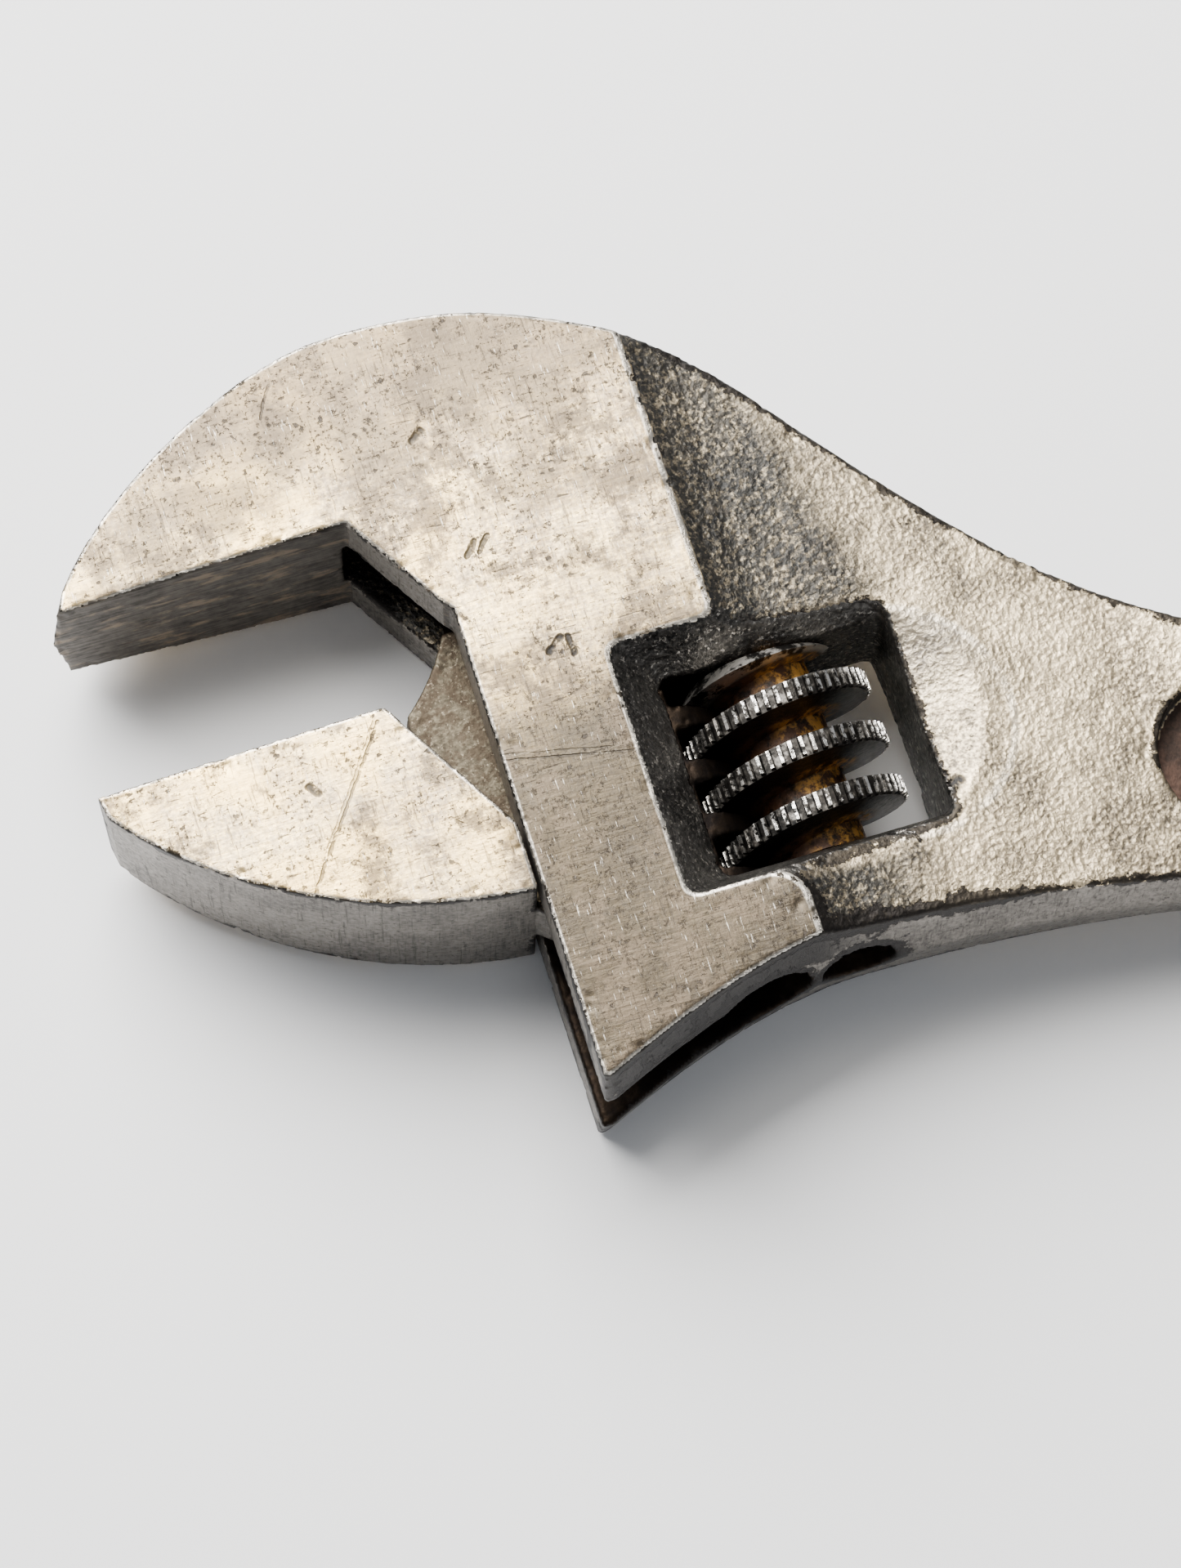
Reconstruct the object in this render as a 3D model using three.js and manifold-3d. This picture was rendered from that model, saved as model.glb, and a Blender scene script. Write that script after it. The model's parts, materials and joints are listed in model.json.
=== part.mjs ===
// Adjustable wrench, 200 mm class, with a forged body and a jaw that slides on a rack and worm.
// Millimetres, +Z up, lying flat with its handle along +X.
// The pieces are drawn in the head's own frame: the fixed jaw's face is y = 0, the front of the
// slide is x = 0, the middle of the thickness is z = 0, and the jaw opens towards -Y.
import * as THREE from 'three';
import { mergeVertices } from 'three/addons/utils/BufferGeometryUtils.js';
import { ConvexGeometry } from 'three/addons/geometries/ConvexGeometry.js';
import Module from 'manifold-3d';

const wasm = await Module();
wasm.setup();

// ---- Driving dimensions -------------------------------------------------------------------

const CLEARANCE = 0.3; // running gap between pieces
const OVERCUT = 5; // how far a cutting solid runs past the face that it opens

// Head
const HEAD_ANGLE = THREE.MathUtils.degToRad(22.5); // between the jaw faces and the handle
const HEAD_THICKNESS = 15.5;
const JAW_DEPTH = 20.2; // fixed jaw's face, tip to throat
const JAW_TAPER = 2.1; // how much each side of the jaws has thinned at their tips
const JAW_TAPER_POWER = 1.4; // 1 for a straight taper, more for a curved one
const THROAT_BACKSET = 5.2; // throat corner ahead of the slide's front
const THROAT_DROP = 7.6; // height of the throat's slope
const THROAT_TOE = 0.5; // foot of the throat's slope ahead of the slide's front
const CROWN_HEIGHT = 13.6; // fixed jaw's face to the top of the crown
const CROWN_SETBACK = 2.3; // crown's top ahead of the slide's front
const CROWN_END = [14, 9.8]; // where the crown runs down into the neck
const CROWN_TIP_ANGLE = 62; // degrees, between the fixed jaw's face and the crown at the tip
const CROWN_END_FALL = 27; // degrees, the crown's fall where it ends
const CROWN_TIP_PULL = 7.2; // lengths of the curve's handles at the tip, the top and the end
const CROWN_TOP_PULL = 7.8;
const CROWN_END_PULL = 6;
const SHOULDER_RUN = 9; // ground face to the middle of the neck's slope
const SHOULDER_DROP = 0.5; // that point below the fixed jaw's face
const SHOULDER_FALL = 52.5; // degrees, the slope's steepest fall
const SHOULDER_PULL = [7, 18]; // lengths of the curves' handles on its two sides
const SLIDE_LENGTH = 42.2; // fixed jaw's face to the slide's lower tip
const HEEL_RISE = 5.3; // slide's lower tip up to the edge under the worm
const HEEL_FLAT = 0.6; // blunt end of the slide's lower tip
const HEEL_RISE_ANGLE = 24; // degrees, the lower edge's rise from that tip
const HEEL_PULL = 6;
const FACE_WIDTH = 16.6; // ground face, slide's front to the step down to the neck
const SIDE_DRAFT = 1.1; // how far the forged sides stand out at the middle of the thickness
const PARTING_BAND = 0.6; // width of the upright band there
const FACE_TOP_CORNER = 1.0; // corner radii of the ground face at the window
const FACE_TAB_CORNER = 2.3;

// Neck and handle
const NECK_THICKNESS = 12; // beside the ground faces
const NECK_LEVEL_LENGTH = 7.5; // ground face to where the neck starts to thin
const HANDLE_THICKNESS = 8;
const NECK_REACH = 48.6; // slide's front to the start of the handle's panel
const NECK_RISE = 5.0; // edge under the worm up to the handle's middle line, there
const NECK_HALF_WIDTH = 7.7; // at the level of the ground faces, without the draft
const NECK_LENGTH = 8; // panel's first centre to where the handle's edges run straight
const NECK_UPPER_PULL = 17; // lengths of the curves' handles above and below the neck
const NECK_LOWER_PULL = [10, 9];
const HANDLE_REACH = 122.9; // panel's first centre to the handle's end
const HANDLE_END_RADIUS = 11;
const HANG_HOLE_RADIUS = 5;
const PANEL_START_RADIUS = 5.6;
const PANEL_END_RADIUS = 7.6;
const PANEL_LENGTH = 88; // between the centres of its two round ends
const PANEL_DEPTH = 2.2;

// Worm, pin and spring
const WORM_RADIUS = 6.95;
const WORM_ROOT_RADIUS = 3.3;
const WORM_LENGTH = 14.1;
const WORM_PITCH = 4;
const THREAD_CREST = 1.5; // width of the thread along the axis at its crest
const THREAD_FLANK = THREE.MathUtils.degToRad(7);
const THREAD_START = 2.3; // worm's lower end to the thread's middle, at the top of its turn
const UPPER_CHAMFER = [1.7, 1.9]; // worm's upper end: depth and length of its chamfer
const LOWER_CHAMFER = [0.5, 0.5];
const PIN_RADIUS = 1.5;
const PIN_HEAD_RADIUS = 2.35;
const PIN_HEAD_LENGTH = 1.6;
const PIN_HEAD_INSET = 0.6; // pin's head below the body's edge
const PIN_SLOT_WIDTH = 0.7;
const PIN_SLOT_DEPTH = 0.7;
const PIN_TIP_LENGTH = 5.5; // threaded tip past the window
const PIN_THREAD_PITCH = 0.8;
const PIN_THREAD_DEPTH = 0.2;
const SPRING_WIRE = 0.5;
const SPRING_SLACK = 0.35; // spring's bore around the pin
const SPRING_TURNS = 3.5;
const SPRING_POCKET = 3.4; // depth of the spring's pocket in the worm

// Movable jaw
const JAW_OPENING = 13.4; // gap between the jaws as drawn
const JAW_DIAGONAL_RUN = 6.1; // sloping back of the jaw's plate, across
const JAW_DIAGONAL_DROP = 10.5; // and down
const JAW_HEEL = 15.3; // jaw's face down to its lowest point at the slide
const JAW_TIP_LEAD = 1.0; // movable jaw's tip ahead of the fixed one's
const JAW_TIP_DROP = 1.6; // height of its blunt end
const JAW_TIP_FALL = 80; // degrees, fall of the blunt end, and of the underside where it starts
const JAW_UNDER_FALL = 54;
const JAW_HEEL_FALL = 4;
const JAW_TIP_PULL = 6.5; // lengths of the underside curve's handles
const JAW_HEEL_PULL = 13;
const WEB_HALF_THICKNESS = 2.9;
const WEB_HOLLOW = [2.2, 2.6]; // how far its hollow edge is drawn towards the throat
const WEB_TOE = 2; // web's foot inside the plate
const RACK_LEAN = 1.1; // rack grooves' lean over the thread's own at its crest
const RAIL_SETBACK = 12.1; // slide's front to the rail's axis
const RAIL_RADIUS = 3.8;
const RAIL_RISE = 5.5; // rail's upper end above the jaw's face
const RAIL_DROP = 22.6; // rail's lower end below the jaw's face
const RACK_TIP_GAP = 0.4; // rack's tips to the worm's root

// Window around the worm
const WINDOW_FINGER_GAP = 1.8; // worm to the window's far wall
const WINDOW_LOWER_WALL = 6.3; // body left under the worm
const WINDOW_BEVEL_DEPTH = 3.6; // depth of the sloping walls below the ground face
const WINDOW_SIDE_BEVEL = 3.2; // how far they reach over the ground face
const WINDOW_LOWER_BEVEL = 1.5;
const WINDOW_UPPER_BEVEL = 2.3;
const WINDOW_SIDE_GAP = 0.45; // worm to the window's wall on the rack's side
const WINDOW_CORNER = 0.8;
const SCOOP_RADIUS = 9; // thumb scoop beside the worm
const SCOOP_DEPTH = 1.7;
const SCOOP_SETBACK = 2.1; // scoop's middle back from the window's far wall

// Step from the ground face to the neck: depth below the face and distance from its edge
const STEP_PROFILE = [[0, 0], [0.4, 1.2], [0.75, 3.3], [1, 7]];
const STEP_TAIL = 0.02; // keeps the step's foot just inside the neck

// ---- Sizes worked out from the driving ones -----------------------------------------------

const HALF_HEAD = HEAD_THICKNESS / 2;
const HALF_NECK = NECK_THICKNESS / 2;
const HALF_HANDLE = HANDLE_THICKNESS / 2;
const JAW_TIP_X = -THROAT_BACKSET - JAW_DEPTH;
const UNDER_EDGE_Y = -(SLIDE_LENGTH - HEEL_RISE);

const WORM_X = RAIL_SETBACK + RAIL_RADIUS + RACK_TIP_GAP + WORM_ROOT_RADIUS;
const WINDOW_BOTTOM = UNDER_EDGE_Y + WINDOW_LOWER_WALL;
const WORM_BOTTOM = WINDOW_BOTTOM + CLEARANCE;
const WORM_TOP = WORM_BOTTOM + WORM_LENGTH;
const WINDOW_TOP = WORM_TOP + CLEARANCE;
const WINDOW_LEFT = WORM_X - WORM_RADIUS - WINDOW_SIDE_GAP;
const WINDOW_RIGHT = WORM_X + WORM_RADIUS + WINDOW_FINGER_GAP;
const PIN_HOLE_RADIUS = PIN_RADIUS + CLEARANCE;
const SPRING_RADIUS = PIN_RADIUS + SPRING_SLACK + SPRING_WIRE / 2; // middle of the wire
const POCKET_RADIUS = SPRING_RADIUS + SPRING_WIRE / 2 + CLEARANCE;
const THREAD_Y = WORM_BOTTOM + THREAD_START;

const JAW_FACE_Y = -JAW_OPENING;
const RAIL_TOP = JAW_FACE_Y + RAIL_RISE;
const RAIL_BOTTOM = JAW_FACE_Y - RAIL_DROP;
const SLOT_TOP = RAIL_RISE + 2 * CLEARANCE; // room for the rail when the jaws are shut
const SLOT_HALF_WIDTH = WEB_HALF_THICKNESS + CLEARANCE;
const FAR = 3 * (SLIDE_LENGTH + HANDLE_REACH); // reaches past the whole wrench

const handleStart = new THREE.Vector2(NECK_REACH, UNDER_EDGE_Y + NECK_RISE);

// ---- Geometry helpers ---------------------------------------------------------------------

/** Turns a closed three.js geometry into a solid that can be joined and cut. */
function solid(geometry) {
  geometry.deleteAttribute('normal');
  geometry.deleteAttribute('uv');
  const merged = mergeVertices(geometry, 1e-5);
  return new wasm.Manifold(new wasm.Mesh({
    numProp: 3,
    vertProperties: new Float32Array(merged.attributes.position.array),
    triVerts: new Uint32Array(merged.index.array),
  }));
}

/** Turns a solid back into a three.js geometry. */
function geometryOf(body) {
  const mesh = body.getMesh();
  const geometry = new THREE.BufferGeometry();
  geometry.setAttribute('position', new THREE.BufferAttribute(mesh.vertProperties, mesh.numProp));
  geometry.setIndex(new THREE.BufferAttribute(mesh.triVerts, 1));
  geometry.computeVertexNormals();
  return geometry;
}

/** Extrudes an outline in the plane of the head to z = low .. high. */
function slab(shape, low, high, curveSegments = 10) {
  const geometry = new THREE.ExtrudeGeometry(shape, {
    depth: high - low, bevelEnabled: false, curveSegments,
  });
  return solid(geometry.translate(0, 0, low));
}

/** A box between two corners. */
function block(x0, x1, y0, y1, z0, z1) {
  const geometry = new THREE.BoxGeometry(x1 - x0, y1 - y0, z1 - z0);
  return solid(geometry.translate((x0 + x1) / 2, (y0 + y1) / 2, (z0 + z1) / 2));
}

/** A round bar along Y between y0 and y1, on the axis (x, 0). */
function bar(x, radius, y0, y1, sides = 32) {
  const geometry = new THREE.CylinderGeometry(radius, radius, y1 - y0, sides);
  return solid(geometry.translate(x, (y0 + y1) / 2, 0));
}

/** A solid of revolution about Y from [radius, y] pairs, on the axis (x, 0). */
function turned(x, profile, sides = 32) {
  const points = profile.map(([radius, y]) => new THREE.Vector2(radius, y));
  return solid(new THREE.LatheGeometry(points, sides).translate(x, 0, 0));
}

/** Point on the head's plane, `along` the handle and `across` it from the panel's first centre. */
function onHandle(along, across) {
  const offset = new THREE.Vector2(along, across);
  return offset.rotateAround(new THREE.Vector2(), -HEAD_ANGLE).add(handleStart);
}

/** Point `distance` from a start in the direction of an angle in degrees. */
function step(from, distance, degrees) {
  const angle = THREE.MathUtils.degToRad(degrees);
  return new THREE.Vector2(from.x + distance * Math.cos(angle), from.y + distance * Math.sin(angle));
}

/** Adds a cubic curve that leaves and arrives along the given directions. */
function blend(shape, from, leaveLength, leaveDegrees, to, arriveLength, arriveDegrees) {
  const first = step(from, leaveLength, leaveDegrees);
  const second = step(to, -arriveLength, arriveDegrees);
  shape.bezierCurveTo(first.x, first.y, second.x, second.y, to.x, to.y);
}

// ---- Body ---------------------------------------------------------------------------------

/** Outline of the body: fixed jaw, crown, neck, handle, heel, slide and throat. */
function bodyOutline() {
  const handleDegrees = -THREE.MathUtils.radToDeg(HEAD_ANGLE);
  const tip = new THREE.Vector2(JAW_TIP_X, 0);
  const crown = new THREE.Vector2(-CROWN_SETBACK, CROWN_HEIGHT);
  const crownEnd = new THREE.Vector2(...CROWN_END);
  const shoulder = new THREE.Vector2(FACE_WIDTH + SHOULDER_RUN, -SHOULDER_DROP);
  const neckTop = onHandle(NECK_LENGTH, NECK_HALF_WIDTH);
  const neckUnder = onHandle(NECK_LENGTH, -NECK_HALF_WIDTH);
  const endCentre = onHandle(HANDLE_REACH - HANDLE_END_RADIUS, 0);
  const endUnder = onHandle(HANDLE_REACH - HANDLE_END_RADIUS, -HANDLE_END_RADIUS);
  const endTop = onHandle(HANDLE_REACH - HANDLE_END_RADIUS, HANDLE_END_RADIUS);
  const underEdge = new THREE.Vector2(WORM_X, UNDER_EDGE_Y);
  const heel = new THREE.Vector2(HEEL_FLAT, -SLIDE_LENGTH);

  const shape = new THREE.Shape();
  shape.moveTo(-THROAT_BACKSET, 0);
  shape.lineTo(tip.x, tip.y);
  blend(shape, tip, CROWN_TIP_PULL, CROWN_TIP_ANGLE, crown, CROWN_TOP_PULL, 0);
  blend(shape, crown, CROWN_TOP_PULL, 0, crownEnd, CROWN_END_PULL, -CROWN_END_FALL);
  blend(shape, crownEnd, CROWN_END_PULL, -CROWN_END_FALL, shoulder, SHOULDER_PULL[0], -SHOULDER_FALL);
  blend(shape, shoulder, SHOULDER_PULL[1], -SHOULDER_FALL, neckTop, NECK_UPPER_PULL, handleDegrees);
  shape.lineTo(endTop.x, endTop.y);
  const quarter = Math.PI / 2;
  const { x: endX, y: endY } = endCentre;
  shape.absarc(endX, endY, HANDLE_END_RADIUS, quarter - HEAD_ANGLE, -quarter - HEAD_ANGLE, true);
  shape.lineTo(endUnder.x, endUnder.y);
  shape.lineTo(neckUnder.x, neckUnder.y);
  blend(shape, neckUnder, NECK_LOWER_PULL[0], 180 + handleDegrees, underEdge, NECK_LOWER_PULL[1], 180);
  blend(shape, underEdge, HEEL_PULL, 180, heel, HEEL_PULL, 180 + HEEL_RISE_ANGLE);
  shape.lineTo(-THROAT_TOE, -SLIDE_LENGTH);
  shape.lineTo(-THROAT_TOE, -THROAT_DROP);
  shape.closePath();
  return shape;
}

/** Plan of the ground face beyond the window: everything above `edge` (side 1) or below it (side -1). */
function facePlan(edge, side, corner) {
  const shape = new THREE.Shape();
  shape.moveTo(-FAR, edge);
  shape.lineTo(FACE_WIDTH - corner, edge);
  shape.absarc(FACE_WIDTH - corner, edge + side * corner, corner, -side * Math.PI / 2, 0, side < 0);
  shape.lineTo(FACE_WIDTH, side * FAR);
  shape.lineTo(-FAR, side * FAR);
  shape.closePath();
  return shape;
}

/** The raised, ground part of the head beyond one end of the window, with its step to the neck. */
function raisedFace(edge, side, corner) {
  const drop = HALF_HEAD - HALF_NECK + STEP_TAIL;
  const layers = STEP_PROFILE.slice(1).map(([depth, reach], index) => {
    const [upperDepth, upperReach] = STEP_PROFILE[index];
    const foot = HALF_HEAD - depth * drop;
    const geometry = new THREE.ExtrudeGeometry(facePlan(edge, side, corner), {
      depth: 2 * foot,
      bevelThickness: (depth - upperDepth) * drop,
      bevelSize: reach - upperReach,
      bevelOffset: upperReach,
      bevelSegments: 1,
      curveSegments: 6,
    });
    return solid(geometry.translate(0, 0, -foot));
  });
  return layers.reduce((whole, layer) => whole.add(layer));
}

/** Rounded rectangle of points at height z. */
function roundedLoop(x0, x1, y0, y1, radius, z) {
  const corners = [[x0, y0, 1, 1], [x1, y0, -1, 1], [x1, y1, -1, -1], [x0, y1, 1, -1]];
  return corners.flatMap(([x, y, inX, inY]) => [0, 1, 2, 3].map((index) => {
    const angle = index * Math.PI / 6;
    return new THREE.Vector3(
      x + inX * radius * (1 - Math.cos(angle)),
      y + inY * radius * (1 - Math.sin(angle)),
      z,
    );
  }));
}

/** Sloping mouth of the window, on the side of the head that `side` names. */
function windowMouth(side) {
  const spread = 1 + OVERCUT / WINDOW_BEVEL_DEPTH; // the slopes run on above the face
  const left = WINDOW_SIDE_BEVEL * spread;
  const lower = WINDOW_LOWER_BEVEL * spread;
  const upper = WINDOW_UPPER_BEVEL * spread;
  const foot = roundedLoop(WINDOW_LEFT, WINDOW_RIGHT, WINDOW_BOTTOM, WINDOW_TOP,
    WINDOW_CORNER, side * (HALF_HEAD - WINDOW_BEVEL_DEPTH));
  const rim = roundedLoop(WINDOW_LEFT - left, WINDOW_RIGHT, WINDOW_BOTTOM - lower, WINDOW_TOP + upper,
    WINDOW_CORNER, side * (HALF_HEAD + OVERCUT));
  return solid(new ConvexGeometry([...foot, ...rim]));
}

/** The worm's window, from face to face. */
function windowCut() {
  const through = HALF_HEAD + OVERCUT;
  const walls = solid(new ConvexGeometry([-through, through].flatMap((z) => roundedLoop(
    WINDOW_LEFT, WINDOW_RIGHT, WINDOW_BOTTOM, WINDOW_TOP, WINDOW_CORNER, z))));
  return [windowMouth(1), windowMouth(-1)].reduce((whole, mouth) => whole.add(mouth), walls);
}

/** Shallow round scoop for the thumb, on one side. */
function scoopCut(side) {
  const radius = (SCOOP_RADIUS ** 2 + SCOOP_DEPTH ** 2) / (2 * SCOOP_DEPTH);
  const rimAngle = Math.asin(SCOOP_RADIUS / radius);
  const rings = 8;
  const profile = [];
  for (let index = 0; index <= rings; index += 1) {
    const angle = (index / rings) * rimAngle;
    profile.push(new THREE.Vector2(radius * Math.sin(angle), -radius * Math.cos(angle)));
  }
  const rim = profile[rings];
  profile.push(new THREE.Vector2(rim.x + OVERCUT, rim.y + OVERCUT));
  profile.push(new THREE.Vector2(0, rim.y + OVERCUT));
  const geometry = new THREE.LatheGeometry(profile, 40);
  geometry.translate(0, radius - SCOOP_DEPTH, 0);
  geometry.rotateX(side * Math.PI / 2);
  geometry.translate(WINDOW_RIGHT - SCOOP_SETBACK, (WINDOW_TOP + WINDOW_BOTTOM) / 2, side * HALF_NECK);
  return solid(geometry);
}

/** Keyhole channel that the jaw's web and rail slide in. */
function slideCut() {
  const slot = block(-THROAT_BACKSET - CLEARANCE, RAIL_SETBACK, -SLIDE_LENGTH - OVERCUT, SLOT_TOP,
    -SLOT_HALF_WIDTH, SLOT_HALF_WIDTH);
  const bore = bar(RAIL_SETBACK, RAIL_RADIUS + CLEARANCE, -SLIDE_LENGTH - OVERCUT, SLOT_TOP);
  return slot.add(bore);
}

/** Hole for the worm's pin, with the recess for its head. */
function pinCut() {
  const headTop = UNDER_EDGE_Y + PIN_HEAD_INSET + PIN_HEAD_LENGTH + CLEARANCE;
  const holeTop = WINDOW_TOP + PIN_TIP_LENGTH + CLEARANCE;
  const hole = bar(WORM_X, PIN_HOLE_RADIUS, UNDER_EDGE_Y - OVERCUT, holeTop, 24);
  const recess = bar(WORM_X, PIN_HEAD_RADIUS + CLEARANCE, UNDER_EDGE_Y - OVERCUT, headTop, 24);
  return hole.add(recess);
}

/** Sunk panel of the handle, on one side. */
function panelCut(side) {
  const taper = Math.asin((PANEL_END_RADIUS - PANEL_START_RADIUS) / PANEL_LENGTH);
  const shape = new THREE.Shape();
  shape.absarc(0, 0, PANEL_START_RADIUS, Math.PI / 2 + taper, -Math.PI / 2 - taper, false);
  shape.absarc(PANEL_LENGTH, 0, PANEL_END_RADIUS, -Math.PI / 2 - taper, Math.PI / 2 + taper, false);
  shape.closePath();
  const floor = HALF_HANDLE - PANEL_DEPTH;
  const geometry = new THREE.ExtrudeGeometry(shape, {
    depth: PANEL_DEPTH + OVERCUT, bevelEnabled: false, curveSegments: 10,
  });
  geometry.translate(0, 0, side > 0 ? floor : -floor - PANEL_DEPTH - OVERCUT);
  geometry.rotateZ(-HEAD_ANGLE);
  return solid(geometry.translate(handleStart.x, handleStart.y, 0));
}

/** Hole near the handle's end, for hanging the wrench up. */
function hangHoleCut() {
  const centre = onHandle(HANDLE_REACH - HANDLE_END_RADIUS, 0);
  const length = HANDLE_THICKNESS + 2 * OVERCUT;
  const geometry = new THREE.CylinderGeometry(HANG_HOLE_RADIUS, HANG_HOLE_RADIUS, length, 32);
  return solid(geometry.rotateX(Math.PI / 2).translate(centre.x, centre.y, 0));
}

/** Solid between a line of [x, z] points and its mirror image below, across the whole width. */
function throughSection(upperLine) {
  const shape = new THREE.Shape();
  shape.moveTo(...upperLine[0]);
  upperLine.slice(1).forEach(([x, z]) => shape.lineTo(x, z));
  upperLine.toReversed().forEach(([x, z]) => shape.lineTo(x, -z));
  shape.closePath();
  const geometry = new THREE.ExtrudeGeometry(shape, { depth: 2 * FAR, bevelEnabled: false });
  return solid(geometry.translate(0, 0, -FAR).rotateX(Math.PI / 2));
}

/** Thickness of both jaws: full at the slide and thinning in a curve to the tips. */
function jawTaper() {
  const steps = 6;
  const tipX = JAW_TIP_X - JAW_TIP_LEAD - OVERCUT;
  const line = [];
  for (let index = 0; index <= steps; index += 1) {
    const x = tipX * (1 - index / steps);
    line.push([x, HALF_HEAD - JAW_TAPER * (x / JAW_TIP_X) ** JAW_TAPER_POWER]);
  }
  line.push([FAR, HALF_HEAD]);
  return throughSection(line);
}

/** Thickness of the neck and the handle. */
function neckSection() {
  return throughSection([
    [-FAR, HALF_NECK],
    [FACE_WIDTH + NECK_LEVEL_LENGTH, HALF_NECK],
    [NECK_REACH - PANEL_START_RADIUS, HALF_HANDLE],
    [FAR, HALF_HANDLE],
  ]);
}

/** The outline with its forged sides drafted both ways from the middle of the thickness. */
function draftedBlank() {
  const geometry = new THREE.ExtrudeGeometry(bodyOutline(), {
    depth: PARTING_BAND,
    bevelThickness: HALF_HEAD - PARTING_BAND / 2,
    bevelSize: SIDE_DRAFT,
    bevelSegments: 1,
    curveSegments: 14,
  });
  return solid(geometry.translate(0, 0, -PARTING_BAND / 2));
}

/** Everything in front of the machined faces: fixed jaw's face, throat and slide. */
function mouthCut() {
  const shape = new THREE.Shape();
  shape.moveTo(-FAR, 0);
  shape.lineTo(-THROAT_BACKSET, 0);
  shape.lineTo(-THROAT_TOE, -THROAT_DROP);
  shape.lineTo(0, -THROAT_DROP - THROAT_TOE);
  shape.lineTo(0, -FAR);
  shape.lineTo(-FAR, -FAR);
  shape.closePath();
  return slab(shape, -HALF_HEAD - OVERCUT, HALF_HEAD + OVERCUT);
}

/** The forging: handle, head and fixed jaw in one piece. */
function wrenchBody() {
  const faceTop = WINDOW_TOP + WINDOW_UPPER_BEVEL;
  const faceBottom = WINDOW_BOTTOM - WINDOW_LOWER_BEVEL;
  const thickness = neckSection()
    .add(raisedFace(faceTop, 1, FACE_TOP_CORNER))
    .add(raisedFace(faceBottom, -1, FACE_TAB_CORNER))
    .add(block(-FAR, WINDOW_LEFT, faceBottom - OVERCUT, faceTop + OVERCUT, -HALF_HEAD, HALF_HEAD));
  const blank = draftedBlank().intersect(thickness).intersect(jawTaper());
  const cuts = [
    mouthCut(), windowCut(), scoopCut(1), scoopCut(-1), slideCut(), pinCut(),
    panelCut(1), panelCut(-1), hangHoleCut(),
  ];
  return cuts.reduce((body, cut) => body.subtract(cut), blank);
}

// ---- Movable jaw --------------------------------------------------------------------------

/** Outline of the jaw's plate: flat face, sloping back and curved underside. */
function jawOutline() {
  const backX = -CLEARANCE;
  const cornerX = backX - JAW_DIAGONAL_RUN;
  const tip = new THREE.Vector2(JAW_TIP_X - JAW_TIP_LEAD, JAW_FACE_Y);
  const heel = new THREE.Vector2(backX, JAW_FACE_Y - JAW_HEEL);
  const shape = new THREE.Shape();
  shape.moveTo(cornerX, JAW_FACE_Y);
  const tipFoot = step(tip, JAW_TIP_DROP, -JAW_TIP_FALL);
  shape.lineTo(tip.x, tip.y);
  shape.lineTo(tipFoot.x, tipFoot.y);
  blend(shape, tipFoot, JAW_TIP_PULL, -JAW_UNDER_FALL, heel, JAW_HEEL_PULL, -JAW_HEEL_FALL);
  shape.lineTo(backX, JAW_FACE_Y - JAW_DIAGONAL_DROP);
  shape.closePath();
  return shape;
}

/** Outline of the thin web that joins the jaw's plate to its rail. */
function webOutline() {
  const footX = -THROAT_BACKSET + CLEARANCE;
  const shape = new THREE.Shape();
  shape.moveTo(footX, JAW_FACE_Y - WEB_TOE);
  shape.lineTo(footX, JAW_FACE_Y + CLEARANCE);
  shape.quadraticCurveTo(-WEB_HOLLOW[0], JAW_FACE_Y + WEB_HOLLOW[1], -THROAT_TOE - CLEARANCE, RAIL_TOP);
  shape.lineTo(RAIL_SETBACK, RAIL_TOP);
  shape.lineTo(RAIL_SETBACK, RAIL_BOTTOM);
  shape.lineTo(RAIL_SETBACK - RAIL_RADIUS, RAIL_BOTTOM);
  shape.lineTo(-CLEARANCE, JAW_FACE_Y - JAW_HEEL);
  shape.lineTo(footX, JAW_FACE_Y - JAW_HEEL + WEB_TOE);
  shape.closePath();
  return shape;
}

/** One groove of the rack: a leaning, wedge-shaped bar with room for the worm's thread. */
function rackGroove(y) {
  const floorX = WORM_X - WORM_RADIUS - CLEARANCE;
  const tipX = WORM_X;
  const floorHalf = THREAD_CREST / 2 + CLEARANCE;
  const tipHalf = floorHalf + (tipX - floorX) * Math.tan(THREAD_FLANK);
  const lean = RACK_LEAN * WORM_PITCH / (2 * Math.PI * WORM_RADIUS); // groove's rise per unit of height
  const reach = RAIL_RADIUS + OVERCUT;
  const points = [-reach, reach].flatMap((z) => [
    new THREE.Vector3(floorX, y + lean * z - floorHalf, z),
    new THREE.Vector3(floorX, y + lean * z + floorHalf, z),
    new THREE.Vector3(tipX, y + lean * z + tipHalf, z),
    new THREE.Vector3(tipX, y + lean * z - tipHalf, z),
  ]);
  return solid(new ConvexGeometry(points));
}

/** The movable jaw: plate, web and rail, with the rack cut in the rail. */
function movableJaw() {
  let jaw = slab(jawOutline(), -HALF_HEAD, HALF_HEAD, 16)
    .intersect(jawTaper())
    .add(slab(webOutline(), -WEB_HALF_THICKNESS, WEB_HALF_THICKNESS, 6))
    .add(bar(RAIL_SETBACK, RAIL_RADIUS, RAIL_BOTTOM, RAIL_TOP));
  const threadAtRail = THREAD_Y - WORM_PITCH / 4; // the thread a quarter turn from its top
  const first = Math.floor((RAIL_BOTTOM - threadAtRail) / WORM_PITCH);
  const last = Math.ceil((RAIL_TOP - threadAtRail) / WORM_PITCH);
  for (let index = first; index <= last; index += 1) {
    jaw = jaw.subtract(rackGroove(threadAtRail + index * WORM_PITCH));
  }
  return jaw;
}

// ---- Worm, pin and spring -----------------------------------------------------------------

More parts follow.
